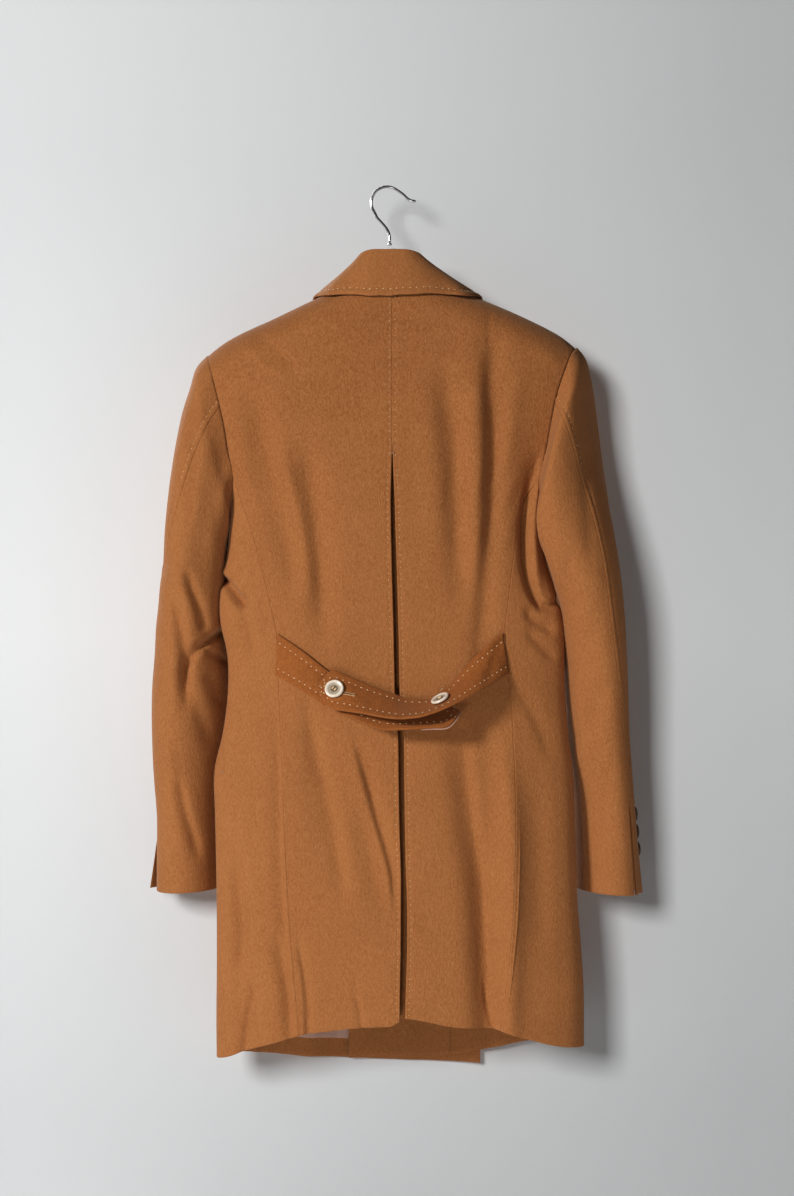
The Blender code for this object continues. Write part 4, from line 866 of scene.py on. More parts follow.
def stitch_mesh(name: str, places: Array, along: Array, normals: Array,
                lengths: Array, thick: float) -> Piece:
    """Short arched strands of thread, joined into one mesh.

    Args:
        name: The object's name.
        places: The middle of each strand.
        along: The direction of each strand.
        normals: The cloth's normal at each strand.
        lengths: The length of each strand.
        thick: Their radius.

    Returns:
        The object.
    """
    side = unit(np.cross(normals, along))
    rings = []
    for share, swell in STITCH_SHAPE:
        middle = places + along * (lengths * share)[:, None]
        middle = middle + normals * (thick * (STITCH_LIFT - STITCH_DIP * share * share))
        for k in range(STITCH_SIDES):
            turn = 2.0 * math.pi * k / STITCH_SIDES
            rings.append(middle + (side * math.cos(turn) + normals * math.sin(turn)) * thick * swell)
    points = np.stack(rings, axis=1)
    one = tube_faces(len(STITCH_SHAPE), STITCH_SIDES)
    faces = [[corner + number * points.shape[1] for corner in face]
             for number in range(len(places)) for face in one]
    return mesh_object(name, points.reshape(-1, 3), faces)


@dataclass(frozen=True)
class SewnRow:
    """A row of stitches at a steady distance from an edge of a piece of cloth."""

    edge: Edge
    inset: float
    spacing: float
    thread: str = "cream_thread"
    heights: Place = ALL_HEIGHTS
    length: float = 0.0016
    thick: float = 0.00034
    across: bool = False


@dataclass(frozen=True)
class BarTack:
    """Three strands side by side that hold the end of an opening in the back."""

    name: str
    node: str
    spot: Place
    length: float
    step: float = 0.0006
    thick: float = 0.0004


@dataclass(frozen=True)
class Buttonhole:
    """A slit between two places on a piece of cloth, with worked edges and a bar at its end.

    The slit is drawn with dark strands under its lips, as painted shade, and the lips with short
    strands across it.
    """

    name: str
    node: str
    start: Place
    end: Place
    facing: Facing = Facing.BACK
    spacing: float = 0.0006
    slit_length: float = 0.0018
    slit_thick: float = 0.00068
    slit_sink: float = 0.0001
    lip: float = 0.0012
    lip_length: float = 0.0012
    lip_thick: float = 0.00042
    bar: float = 0.0056
    bar_step: float = 0.0006


def dress(piece: Piece, material: Finish,
          nodes: Sequence[str] = ()) -> Piece:
    """Give a piece its finish and hang it on the part.

    Args:
        piece: The object.
        material: Its finish.
        nodes: The solids that it stands for.

    Returns:
        The same object.
    """
    piece.data.materials.clear()
    piece.data.materials.append(material)
    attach(piece, "root")
    if nodes:
        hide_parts(*nodes)
    LOG.info("%s: %d faces", piece.name, len(piece.data.polygons))
    return piece


class Tailor:
    """Cuts, creases, closes and sews the pieces of cloth, and keeps them for what is sewn on."""

    HEM_REACH = 0.0055
    HEM_PAST = 0.9
    TAPE = 0.0005
    TAPE_GAP = 0.00015
    CORD = 0.0008
    CORD_SINK = 0.0003
    CORD_SIDES = 8
    UNEVEN = 0.10
    SEED = 11

    def __init__(self, finishes: dict[str, Finish]) -> None:
        """Keep the finishes by name."""
        self.finishes = finishes
        self.panels: dict[str, Panel] = {}
        self.hand = np.random.default_rng(self.SEED)

    def lay_out(self, cut: Cut, skin: Skin | None = None) -> Panel:
        """Read a piece's skin and draw it finer.

        Args:
            cut: What to read.
            skin: The skin, where it is read already.

        Returns:
            The panel, not yet closed.
        """
        skin = skin or Skin(cut.node, cut.wall, cut.rows_run, cut.columns_run)
        grid = finer(skin.grid, cut.step[0], cut.bands[0])
        grid = turned(finer(turned(grid), cut.step[1], cut.bands[1]))
        panel = Panel(cut, np.ascontiguousarray(grid), skin.outward)
        self.panels[cut.node] = panel
        return panel

    def close(self, panel: Panel) -> None:
        """Give a panel its thickness, its finish and its place on the part."""
        cut = panel.cut
        piece = shell(cut.node + "_cloth", panel.grid, panel.normals, cut.wall, cut.roll)
        panel.piece = dress(piece, self.finishes[cut.finish or cut.slot], [cut.node])

    def turn_in(self, node: str, edge: Edge, heights: Place = ALL_HEIGHTS) -> None:
        """Lay the seam allowance under a seam, and a cord of wool in its groove.

        Args:
            node: The node of a panel that the seam joins.
            edge: Its sewn edge.
            heights: The lowest and the highest Z of the seam.
        """
        panel = self.panels[node]
        inner, normals = panel.line_inside(edge, self.HEM_REACH)
        rim, _ = panel.line_inside(edge, 0.0)
        keep = between(rim, heights)
        strip = np.stack([inner, rim, rim + (rim - inner) * self.HEM_PAST], axis=1)
        strip = strip - normals[:, None] * (panel.cut.wall + self.TAPE_GAP)
        outs = np.repeat(normals[keep][:, None], 3, axis=1)
        name = "%s_%s" % (node, edge.name.lower())
        tape = shell(name + "_allowance", strip[keep], outs, self.TAPE, self.TAPE / 4.0)
        line, outs = rim[keep], normals[keep]
        side = np.cross(unit(np.gradient(line, axis=0)), outs)
        rings = np.stack([line - outs * (self.CORD + self.CORD_SINK)
                          + (outs * math.sin(turn) + side * math.cos(turn)) * self.CORD
                          for turn in around(self.CORD_SIDES)], axis=1)
        for piece in (tape, lofted(name + "_seam", rings)):
            panel.extras.append(dress(piece, self.finishes["wool"]))

    def sew(self, node: str, row: SewnRow) -> None:
        """Lay a row of stitches on a panel.

        Args:
            node: The panel's node.
            row: The row.
        """
        panel = self.panels[node]
        points, normals = panel.line_inside(row.edge, row.inset)
        keep = between(points, row.heights)
        points, normals = points[keep], normals[keep]
        reach = reach_along(points)
        at = np.arange(row.spacing / 2.0, reach[-1], row.spacing)
        at = at + self.hand.normal(0.0, row.spacing * self.UNEVEN / 2.0, len(at))
        places, outs = (np.stack([np.interp(at, reach, values[:, k]) for k in range(3)], axis=1)
                        for values in (points, normals))
        outs = unit(outs)
        along = unit(np.gradient(places, axis=0))
        side = np.cross(outs, along)
        along = unit(along + side * self.hand.normal(0.0, self.UNEVEN, (len(at), 1)))
        if row.across:
            along = unit(np.cross(outs, along))
        lengths = row.length * (1.0 + self.hand.normal(0.0, self.UNEVEN, len(at)))
        name = "%s_%s_%dmm_%s" % (node, row.edge.name.lower(), round(row.inset * 1000), row.thread)
        piece = stitch_mesh(name, places, along, outs, lengths, row.thick)
        panel.extras.append(dress(piece, self.finishes[row.thread]))

    def tack(self, tack: BarTack) -> None:
        """Work a bar tack on its panel."""
        panel = self.panels[tack.node]
        place, normal = panel.under(*tack.spot, Facing.BACK)
        places = place + THREE_STRANDS * np.array([0.0, 0.0, tack.step])
        outs = np.repeat(normal[None], 3, axis=0)
        across = np.repeat(np.array([[1.0, 0.0, 0.0]]), 3, axis=0)
        across = unit(across - outs * np.sum(across * outs, axis=1)[:, None])
        piece = stitch_mesh(tack.name, places, across, outs, np.full(3, tack.length), tack.thick)
        panel.extras.append(dress(piece, self.finishes["tan_thread"]))

    def work_buttonhole(self, hole: Buttonhole) -> None:
        """Work a buttonhole on its panel."""
        panel = self.panels[hole.node]
        start, end = np.array(hole.start), np.array(hole.end)
        length = float(np.linalg.norm(end - start))
        shares = np.linspace(0.0, 1.0, max(4, int(length / hole.spacing)))
        spots = [panel.under(*(start + (end - start) * share), hole.facing) for share in shares]
        places, normals = (np.array(values) for values in zip(*spots))
        along = unit(np.gradient(places, axis=0))
        side = unit(np.cross(normals, along))
        count = len(places)
        slit = stitch_mesh(hole.name + "_slit", places - normals * hole.slit_sink, along, normals,
                           np.full(count, hole.slit_length), hole.slit_thick)
        panel.extras.append(dress(slit, self.finishes["slit_shade"]))
        bar = places[-1] + along[-1] * THREE_STRANDS * hole.bar_step
        worked = np.concatenate([places + side * hole.lip, places - side * hole.lip, bar])
        lengths = np.concatenate([np.full(2 * count, hole.lip_length), np.full(3, hole.bar)])
        across, outs = (np.concatenate([values, values, np.repeat(values[-1:], 3, axis=0)])
                        for values in (side, normals))
        lips = stitch_mesh(hole.name + "_lips", worked, across, outs, lengths, hole.lip_thick)
        panel.extras.append(dress(lips, self.finishes["silk_thread"]))

    def declare(self) -> None:
        """Work out the width, length and area of every piece, as far as it shows; they are not kept."""
        for panel in self.panels.values():
            width, length = (round(float(reach_along(grid)[-1].max()), 3)
                             for grid in (turned(panel.grid), panel.grid))
            area = round(min(panel.area(), width * length), 4)


# ------------------------ the coat
@dataclass(frozen=True)
class Body:
    """Backs, side bodies, fronts and the cloth behind the pleat."""

    tailor: Tailor
    wall: float = 0.0022
    centre: Place = (0.009, -0.008)
    half: Place = (0.215, 0.075)
    waves: float = 0.0006
    smooth_above: float = -0.118
    smooth_fade: float = 0.06
    edge_band: Place = (0.0, 0.012)
    notch_z: float = -0.335
    seam_end: float = 0.004
    back_grooves: tuple[Groove, ...] = (
        Groove(0.0033, 0.0004, 0.0014, (notch_z, ABOVE_ALL)),
        Groove(0.0043, 0.0004, 0.0016, (BELOW_ALL, notch_z)),
    )
    front_groove: Groove = Groove(0.009, 0.0004, 0.0018)
    back_rows: tuple[SewnRow, ...] = (
        SewnRow(Edge.FIRST, 0.0033, 0.0089, heights=(notch_z, ABOVE_ALL), length=0.0013, thick=0.00030),
        SewnRow(Edge.FIRST, 0.0043, 0.0072, heights=(BELOW_ALL, notch_z - 0.006), length=0.0013,
                thick=0.00030),
    )
    front_row: SewnRow = SewnRow(Edge.FIRST, 0.009, 0.008, heights=(BELOW_ALL, -0.47))
    tacks: tuple[BarTack, ...] = (
        BarTack("pleat_bar_tack", "back_left", (0.0031, -0.3291), 0.0075),
        BarTack("pocket_bar_tack", "side_body_left", (-0.1985, -0.7063), 0.0070),
    )
    buttoned_past: float = 0.05
    hole_reach: Place = (0.001, -0.013)

    def away(self, points: Array) -> Array:
        """The direction out of the body at each point, the same on both sides of a seam."""
        out = np.zeros_like(points)
        for axis in range(2):
            out[..., axis] = (points[..., axis] - self.centre[axis]) / self.half[axis] ** 2
        return unit(out)

    def hung(self, panel: Panel) -> Panel:
        """Crease a panel."""
        away = self.away(panel.grid)
        fade = smooth((self.smooth_above - panel.grid[..., 2]) / self.smooth_fade)
        push = gentle_waves(panel.grid, self.waves)
        for crease in BODY_CREASES:
            push = push + crease.push(panel.grid, away)
        panel.grid = panel.grid - away * (push * fade)[..., None]
        return panel

    def build(self) -> None:
        """Build the body's panels."""
        tailor = self.tailor
        for side in Side:
            out = (float(side.value), 0.0, 0.0)
            hand = side.hand
            # the backs wear the camel with painted shade darkening it towards the collar
            back = self.hung(tailor.lay_out(Cut(
                "back_" + hand, self.wall, columns_run=out, step=(0.004, 0.0028),
                bands=self.edge_band, finish="yoke_wool")))
            for groove in self.back_grooves:
                back.press(Edge.FIRST, groove)
            tailor.close(back)
            tailor.close(self.hung(tailor.lay_out(Cut(
                "side_body_" + hand, self.wall, columns_run=(0.0, 1.0, 0.0), step=(0.0032, 0.0016),
                rests_on="back_" + hand + "_cloth"))))
            front = self.hung(tailor.lay_out(Cut(
                "front_" + hand, self.wall, columns_run=out, step=(0.006, 0.004),
                bands=self.edge_band)))
            front.press(Edge.FIRST, self.front_groove)
            tailor.close(front)
        tailor.close(self.hung(tailor.lay_out(Cut("pleat_underlay", self.wall, step=(0.010, 0.005),
                                                  rests_on="back_left_cloth"))))
        self.sew()

    def sew(self) -> None:
        """Turn in the seams and sew the rows that show."""
        tailor = self.tailor
        tailor.turn_in("back_left", Edge.FIRST, (self.notch_z + self.seam_end, ABOVE_ALL))
        for side in Side:
            hand = side.hand
            for node, edge in (("back_", Edge.TOP), ("back_", Edge.LAST), ("side_body_", Edge.LAST),
                               ("side_body_", Edge.TOP)):
                tailor.turn_in(node + hand, edge)
            for row in self.back_rows:
                tailor.sew("back_" + hand, row)
            tailor.sew("front_" + hand, self.front_row)
        for tack in self.tacks:
            tailor.tack(tack)
        for node in sorted(name for name in frame["nodes"] if name.startswith("front_button")):
            low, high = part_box(node)
            if (low[0] + high[0]) / 2.0 > self.buttoned_past:
                up = (low[2] + high[2]) / 2.0
                start, end = ((low[0] + reach, up) for reach in self.hole_reach)
                tailor.work_buttonhole(Buttonhole(node + "_buttonhole", "front_left", start, end,
                                                  Facing.FRONT))


@dataclass(frozen=True)
class Sleeves:
    """Upper and under sleeves of both arms."""

    tailor: Tailor
    wall: float = 0.0020
    waves: float = 0.0006
    wave_shift: Spot = (0.4, 0.2, 0.1)
    crown: float = 0.08
    level: float = 0.02
    level_count: int = 40
    seam_return: float = 0.14
    seam_start_row: float = 1.5
    seam_span: Place = (0.20, 0.80)
    seam_reads: int = 400
    grooves: tuple[Groove, ...] = (
        Groove(0.0045, -0.0005, 0.0030), Groove(0.0090, 0.0007, 0.0018))
    rows: tuple[SewnRow, ...] = (
        SewnRow(Edge.FIRST, 0.009, 0.0072, "cream_thread", (-0.36, ABOVE_ALL), length=0.0014),
        SewnRow(Edge.FIRST, 0.009, 0.0072, "tan_thread", (-0.80, -0.36), length=0.0030, across=True),
    )

    def build(self) -> None:
        """Build both sleeves."""
        tailor = self.tailor
        for side in Side:
            hand = side.hand
            cuts = [Cut(part + "_sleeve_" + hand, self.wall, columns_run=(0.0, 1.0, 0.0),
                        step=(0.004, 0.003), bands=(0.0, 0.016),
                        rests_on="back_" + hand + "_cloth") for part in ("upper", "under")]
            skins = [Skin(cut.node, cut.wall, cut.rows_run, cut.columns_run) for cut in cuts]
            self.move_seam(*skins, side)
            panels = [tailor.lay_out(cut, skin) for cut, skin in zip(cuts, skins)]
            levels, middles = self.middles(panels)
            for panel in panels:
                self.hung(panel, levels, middles, side)
            for groove in self.grooves:
                panels[0].press(Edge.FIRST, groove)
            for panel in panels:
                tailor.close(panel)
            for edge in (Edge.FIRST, Edge.LAST):
                tailor.turn_in("upper_sleeve_" + hand, edge)
            for row in self.rows:
                tailor.sew("upper_sleeve_" + hand, row)

    def move_seam(self, upper: Skin, under: Skin, side: Side) -> None:
        """Cut the two skins of a sleeve anew, so that the elbow seam runs along its line.

        Each row of both skins is read as one strip, and parted where it crosses the line. Past the
        line's low end the seam goes back to where the solids part.

        Args:
            upper: The upper sleeve's skin.
            under: The under sleeve's skin.
            side: The arm.
        """
        places = np.array(ELBOW_SEAMS[side])
        middle = under.grid.shape[1] - 0.5
        low, high = self.seam_span
        for row in range(len(upper.grid)):
            strip = np.concatenate([under.grid[row, ::-1], upper.grid[row]])
            reach = reach_along(strip)
            seam = float(np.interp(middle, np.arange(len(strip)), reach))
            fine = np.linspace(reach[-1] * low, reach[-1] * high, self.seam_reads)
            aside = np.interp(fine, reach, strip[:, 0])
            level = np.interp(fine, reach, strip[:, 2])
            goal = np.interp(-level, -places[:, 1], places[:, 0])
            past = np.flatnonzero((aside - goal) * side.value >= 0.0)
            at = int(past[0]) if len(past) else int(np.argmax(aside * side.value))
            near = smooth((level[at] - places[-1, 1]) / self.seam_return + 1.0)
            near = near * smooth(row / self.seam_start_row)
            moved = seam + (fine[at] - seam) * float(near)
            gap = float(np.linalg.norm(upper.grid[row, 0] - under.grid[row, 0])) / 2.0
            for skin, end, start in ((upper, reach[-1], moved + gap), (under, 0.0, moved - gap)):
                at = np.linspace(start, end, skin.grid.shape[1])
                skin.grid[row] = curve_through(strip, reach, at)

    def middles(self, panels: Sequence[Panel]) -> tuple[Array, Array]:
        """The middle of the sleeve, level by level.

        Args:
            panels: The upper and the under sleeve.

        Returns:
            The levels, from the lowest up, and the middle at each of them.
        """
        points = np.concatenate([panel.grid.reshape(-1, 3) for panel in panels])
        lowest, highest = points[:, 2].min(), points[:, 2].max()
        levels = np.linspace(lowest + self.level, highest - self.level, self.level_count)
        middles = []
        for level in levels:
            near = points[np.abs(points[:, 2] - level) < self.level]
            middles.append((near.min(axis=0) + near.max(axis=0)) / 2.0)
        return levels, np.array(middles)

    def hung(self, panel: Panel, levels: Array, middles: Array, side: Side) -> None:
        """Crease a panel.

        Args:
            panel: The panel.
            levels: The levels at which the sleeve's middle is known.
            middles: The middle at each level.
            side: The arm.
        """
        away = panel.grid.copy()
        for axis in range(2):
            away[..., axis] -= np.interp(panel.grid[..., 2], levels, middles[:, axis])
        away[..., 2] = 0.0
        away = unit(away)
        rows = np.linspace(0.0, 1.0, len(panel.grid))[:, None]
        push = gentle_waves(panel.grid + np.array(self.wave_shift), self.waves)
        for crease in SLEEVE_CREASES[side]:
            push = push + crease.push(panel.grid, away)
        panel.grid = panel.grid - away * (push * smooth(rows / self.crown))[..., None]


@dataclass(frozen=True)
class Collar:
    """The collar's fall and stand, and the lapels."""

    tailor: Tailor
    wall: float = 0.0026
    centre_x: float = 0.009
    lift: float = 0.0030
    lift_half: float = 0.050
    stitch_inset: float = 0.0086
    spacing: float = 0.0080
    fall_grooves: tuple[Groove, ...] = (
        Groove(stitch_inset, 0.0006, 0.0022), Groove(stitch_inset / 2.0, -0.0004, 0.0030))
    fall_row: SewnRow = SewnRow(Edge.BOTTOM, stitch_inset, spacing, length=0.0019, thick=0.00042)
    lapel_wall: float = 0.0020
    lapel_groove: Groove = Groove(stitch_inset, 0.0005, 0.0022)
    lapel_row: SewnRow = SewnRow(Edge.LAST, stitch_inset, spacing)

    def build(self) -> None:
        """Build the collar and the lapels."""
        tailor = self.tailor
        fall = tailor.lay_out(Cut("collar_fall", self.wall, step=(0.0018, 0.003), roll=0.0010))
        down = np.linspace(0.0, 1.0, len(fall.grid))[:, None]
        middle = np.exp(-((fall.grid[..., 0] - self.centre_x) / self.lift_half) ** 2)
        fall.grid[..., 2] += self.lift * middle * down ** 2
        for groove in self.fall_grooves:
            fall.press(Edge.BOTTOM, groove)
        tailor.close(fall)
        tailor.close(tailor.lay_out(Cut("collar_stand", self.wall, step=(0.004, 0.003), roll=0.0009)))
        tailor.sew("collar_fall", self.fall_row)
        for side in Side:
            node = "lapel_" + side.hand
            lapel = tailor.lay_out(Cut(node, self.lapel_wall, rows_run=(0.0, 0.0, 1.0),
                                       columns_run=(float(side.value), 0.0, 0.0),
                                       step=(0.004, 0.003), bands=(0.0, 0.014), roll=0.0009,
                                       rests_on="front_" + side.hand + "_cloth"))
            lapel.press(Edge.LAST, self.lapel_groove)
            tailor.close(lapel)
            tailor.sew(node, self.lapel_row)


@dataclass(frozen=True)
class HalfBelt:
    """The two tabs of the half belt, their facing and their buttonholes."""

    tailor: Tailor
    wall: float = 0.0030
    stitch_inset: float = 0.0095
    spacing: float = 0.0078
    stitch_length: float = 0.0021
    stitch_thick: float = 0.00049
    grooves: tuple[Groove, ...] = (
        Groove(stitch_inset, 0.0005, 0.0020), Groove(stitch_inset / 2.0, -0.0003, 0.0030))
    facing_wall: float = 0.0009
    facing_gap: float = 0.0003
    facing_roll: float = 0.0003
    facing_from: float = 0.80
    facing_past: float = 0.0020
    facing_end: float = 0.4
    holes: tuple[Buttonhole, ...] = (
        Buttonhole("belt_buttonhole_1", "belt_tab_right", (-0.0560, -0.6096), (-0.0412, -0.6120)),
        Buttonhole("belt_buttonhole_2", "belt_tab_right", (0.0600, -0.6070), (0.0703, -0.5967)),
    )

    def build(self) -> None:
        """Build both tabs."""
        tailor = self.tailor
        for side in Side:
            node = "belt_tab_" + side.hand
            # the tabs wear a darker copy of the camel, painted shade
            tab = tailor.lay_out(Cut(node, self.wall, columns_run=(-float(side.value), 0.0, 0.0),
                                     step=(0.0022, 0.003), roll=0.0012, slot="belt_wool",
                                     rests_on="back_" + side.hand + "_cloth"))
            for crease in BELT_CREASES[side]:
                tab.grid = tab.grid - tab.normals * crease.push(tab.grid, tab.normals)[..., None]
            for edge in (Edge.TOP, Edge.BOTTOM):
                for groove in self.grooves:
                    tab.press(edge, groove)
            tailor.close(tab)
            for edge in (Edge.TOP, Edge.BOTTOM, Edge.LAST):
                tailor.sew(node, SewnRow(edge, self.stitch_inset, self.spacing,
                                         length=self.stitch_length, thick=self.stitch_thick))
        for hole in self.holes:
            tailor.work_buttonhole(hole)
        self.face()

    def face(self) -> None:
        """Lay the facing under the free end of the under tab, a little past its edges."""
        panel = self.tailor.panels["belt_tab_left"]
        first = int(panel.grid.shape[1] * self.facing_from)
        normals = panel.normals[:, first:]
        grid = panel.grid[:, first:] - normals * (self.wall + self.facing_gap)
        share = np.linspace(0.0, 1.0, grid.shape[1])[None, :, None]
        down = unit(grid[-1] - grid[-2])[None] * self.facing_past * share
        lower_half = smooth((np.linspace(0.0, 1.0, len(grid)) - 0.5) * 2.0)[:, None, None]
        grid = grid + down * lower_half
        end = smooth((share - (1.0 - self.facing_end)) / self.facing_end)
        grid = grid + unit(grid[:, -1:] - grid[:, -2:-1]) * self.facing_past * end
        piece = shell("belt_tab_left_facing", grid, normals, self.facing_wall, self.facing_roll)
        panel.extras.append(dress(piece, self.tailor.finishes["satin"]))


@dataclass(frozen=True)
class Pockets:
    """The pocket flaps, and the facing and the lining that show at the hem."""

    tailor: Tailor
    body: Body
    flap_wall: float = 0.0022
    stitch_inset: float = 0.0085
    groove: Groove = Groove(stitch_inset, 0.0005, 0.0020)
    row: SewnRow = SewnRow(Edge.BOTTOM, stitch_inset, 0.0080)
    inside_wall: float = 0.0012
    insides: tuple[tuple[str, str, Side], ...] = (
        ("front_facing", "wool", Side.RIGHT), ("front_lining", "satin", Side.LEFT))

    def build(self) -> None:
        """Build the flaps, the facing and the lining."""
        tailor = self.tailor
        for side in Side:
            node = "pocket_flap_" + side.hand
            flap = tailor.lay_out(Cut(node, self.flap_wall, columns_run=(0.0, 1.0, 0.0),
                                      step=(0.003, 0.004), roll=0.0009,
                                      rests_on="front_" + side.hand + "_cloth"))
            self.body.hung(flap).press(Edge.BOTTOM, self.groove)
            tailor.close(flap)
            tailor.sew(node, self.row)
        for name, slot, side in self.insides:
            cut = Cut(name + "_" + side.hand, self.inside_wall, step=(0.004, 0.004), roll=0.0004,
                      slot=slot, rests_on="front_" + side.hand + "_cloth")
            tailor.close(self.body.hung(tailor.lay_out(cut)))


# ------------------------ buttons
@dataclass(frozen=True)
class ButtonKind:
    """The turned shape of a button, as shares of its radius and its height."""

    profile: tuple[Place, ...]
    hole_ring: float
    hole: float
    dish: float
    slot: str
    thread: str


BELT_BUTTON = ButtonKind(
    ((0.78, 0.0), (0.95, 0.22), (1.0, 0.5), (0.985, 0.74), (0.93, 0.94), (0.86, 1.0), (0.78, 0.97),
     (0.70, 0.84), (0.62, 0.72), (0.50, 0.66), (0.25, 0.64)), 0.215, 0.085, 0.64, "light_horn",
    "cream_thread")
DARK_BUTTON = ButtonKind(
    ((0.74, 0.0), (0.93, 0.20), (1.0, 0.46), (0.985, 0.72), (0.93, 0.92), (0.84, 1.0), (0.72, 0.95),
     (0.60, 0.82), (0.48, 0.74), (0.25, 0.70)), 0.20, 0.085, 0.70, "dark_horn", "tan_thread")


@dataclass(frozen=True)
class Buttons:
    """Turned four-hole buttons, each on its own solid, sewn on with two pairs of strands."""

    finishes: dict[str, Finish]
    kinds: tuple[tuple[str, ButtonKind], ...] = (
        ("belt_button", BELT_BUTTON), ("front_button", DARK_BUTTON), ("cuff_button", DARK_BUTTON))
    sides: int = 40
    hole_sides: int = 12
    hole_turn: float = math.radians(9.0)
    drill_ends: Place = (-0.5, 1.5)
    sharp: float = math.radians(50.0)
    strand: float = 0.00050
    strand_aside: float = 0.8
    strand_up: float = 0.9

    def build(self) -> None:
        """Build every button."""
        for prefix, kind in self.kinds:
            template = None
            for node in sorted(name for name in frame["nodes"] if name.startswith(prefix)):
                base, axis, radius, height = self.seat(node)
                if template is None:
                    template = self.turned(prefix, kind, radius, height)
                piece = bpy.data.objects.new(node + "_turned", template.copy())
                bpy.context.scene.collection.objects.link(piece)
                self.place(piece, base, axis)
                dress(piece, self.finishes[kind.slot], [node])
                thread = self.strands(node + "_thread", kind, radius, height)
                self.place(thread, base, axis)
                dress(thread, self.finishes[kind.thread])

    @staticmethod
    def seat(node: str) -> tuple[Array, Array, float, float]:
        """Where a button's solid lies.

        Args:
            node: The solid's name.

        Returns:
            The middle of its back, the direction of its face, its radius and its height.
        """
        points, _ = Skin.welded(node)
        middle = points.mean(axis=0)
        axis = np.linalg.svd(points - middle)[2][2]
        up = (points - middle) @ axis
        if up.max() > -up.min():
            axis, up = -axis, -up
        flat = points - middle - np.outer((points - middle) @ axis, axis)
        radius = float(np.linalg.norm(flat, axis=1).max())
        return middle + axis * up.min(), axis, radius, float(up.max() - up.min())

    def turned(self, name: str, kind: ButtonKind, radius: float, height: float) -> bpy.types.Mesh:
        """Turn a button and drill it.

        Args:
            name: The mesh's name.
            kind: Its shape.
            radius: Its radius.
            height: Its height.

        Returns:
            The mesh, standing on its back at the origin.
        """
        disc = lathe(name, kind.profile, radius, height, self.sides)
        ring = np.array([(math.cos(turn), math.sin(turn), 0.0)
                         for turn in around(self.hole_sides)]) * radius * kind.hole
        drills = []
        for k in range(4):
            turn = self.hole_turn + k * math.pi / 2.0
            centre = radius * kind.hole_ring * np.array([math.cos(turn), math.sin(turn), 0.0])
            ends = [centre + ring + np.array([0.0, 0.0, height * z]) for z in self.drill_ends]
            drill = lofted(name + "_drill", np.array(ends))
            cut = disc.modifiers.new("hole", "BOOLEAN")
            cut.object = drill
            drills.append(drill)
        shape = bpy.context.evaluated_depsgraph_get()
        mesh = bpy.data.meshes.new_from_object(disc.evaluated_get(shape))
        for spare in (disc, *drills):
            bpy.data.objects.remove(spare, do_unlink=True)
        mesh.shade_smooth()
        mesh.set_sharp_from_angle(angle=self.sharp)
        return mesh

    def strands(self, name: str, kind: ButtonKind, radius: float, height: float) -> Piece:
        """The two pairs of strands, side by side, between a button's holes.

        Args:
            name: The object's name.
            kind: The button's shape.
            radius: The button's radius.
            height: The button's height.

        Returns:
            The object, on a button that stands on its back at the origin.
        """
        across = self.hole_turn - math.pi / 4.0
        aside = np.array([math.cos(across), math.sin(across), 0.0])
        apart = radius * kind.hole_ring * math.cos(math.pi / 4.0)
        up = np.array([0.0, 0.0, 1.0])
        lift = height * kind.dish + self.strand * self.strand_up
        places = np.array([aside * (pair * apart + strand * self.strand * self.strand_aside)
                           + up * lift for pair in (-1.0, 1.0) for strand in (-1.0, 1.0)])
        along = np.repeat(np.cross(up, aside)[None], 4, axis=0)
        lengths = np.full(4, 2.0 * apart + radius * kind.hole)
        return stitch_mesh(name, places, along, np.repeat(up[None], 4, axis=0), lengths, self.strand)

    @staticmethod
    def place(piece: Piece, base: Array, axis: Array) -> None:
        """Stand a piece at a place, its own Z along an axis."""
        piece.location = base
        piece.rotation_mode = "QUATERNION"
        piece.rotation_quaternion = Vector(axis).to_track_quat("Z", "Y")


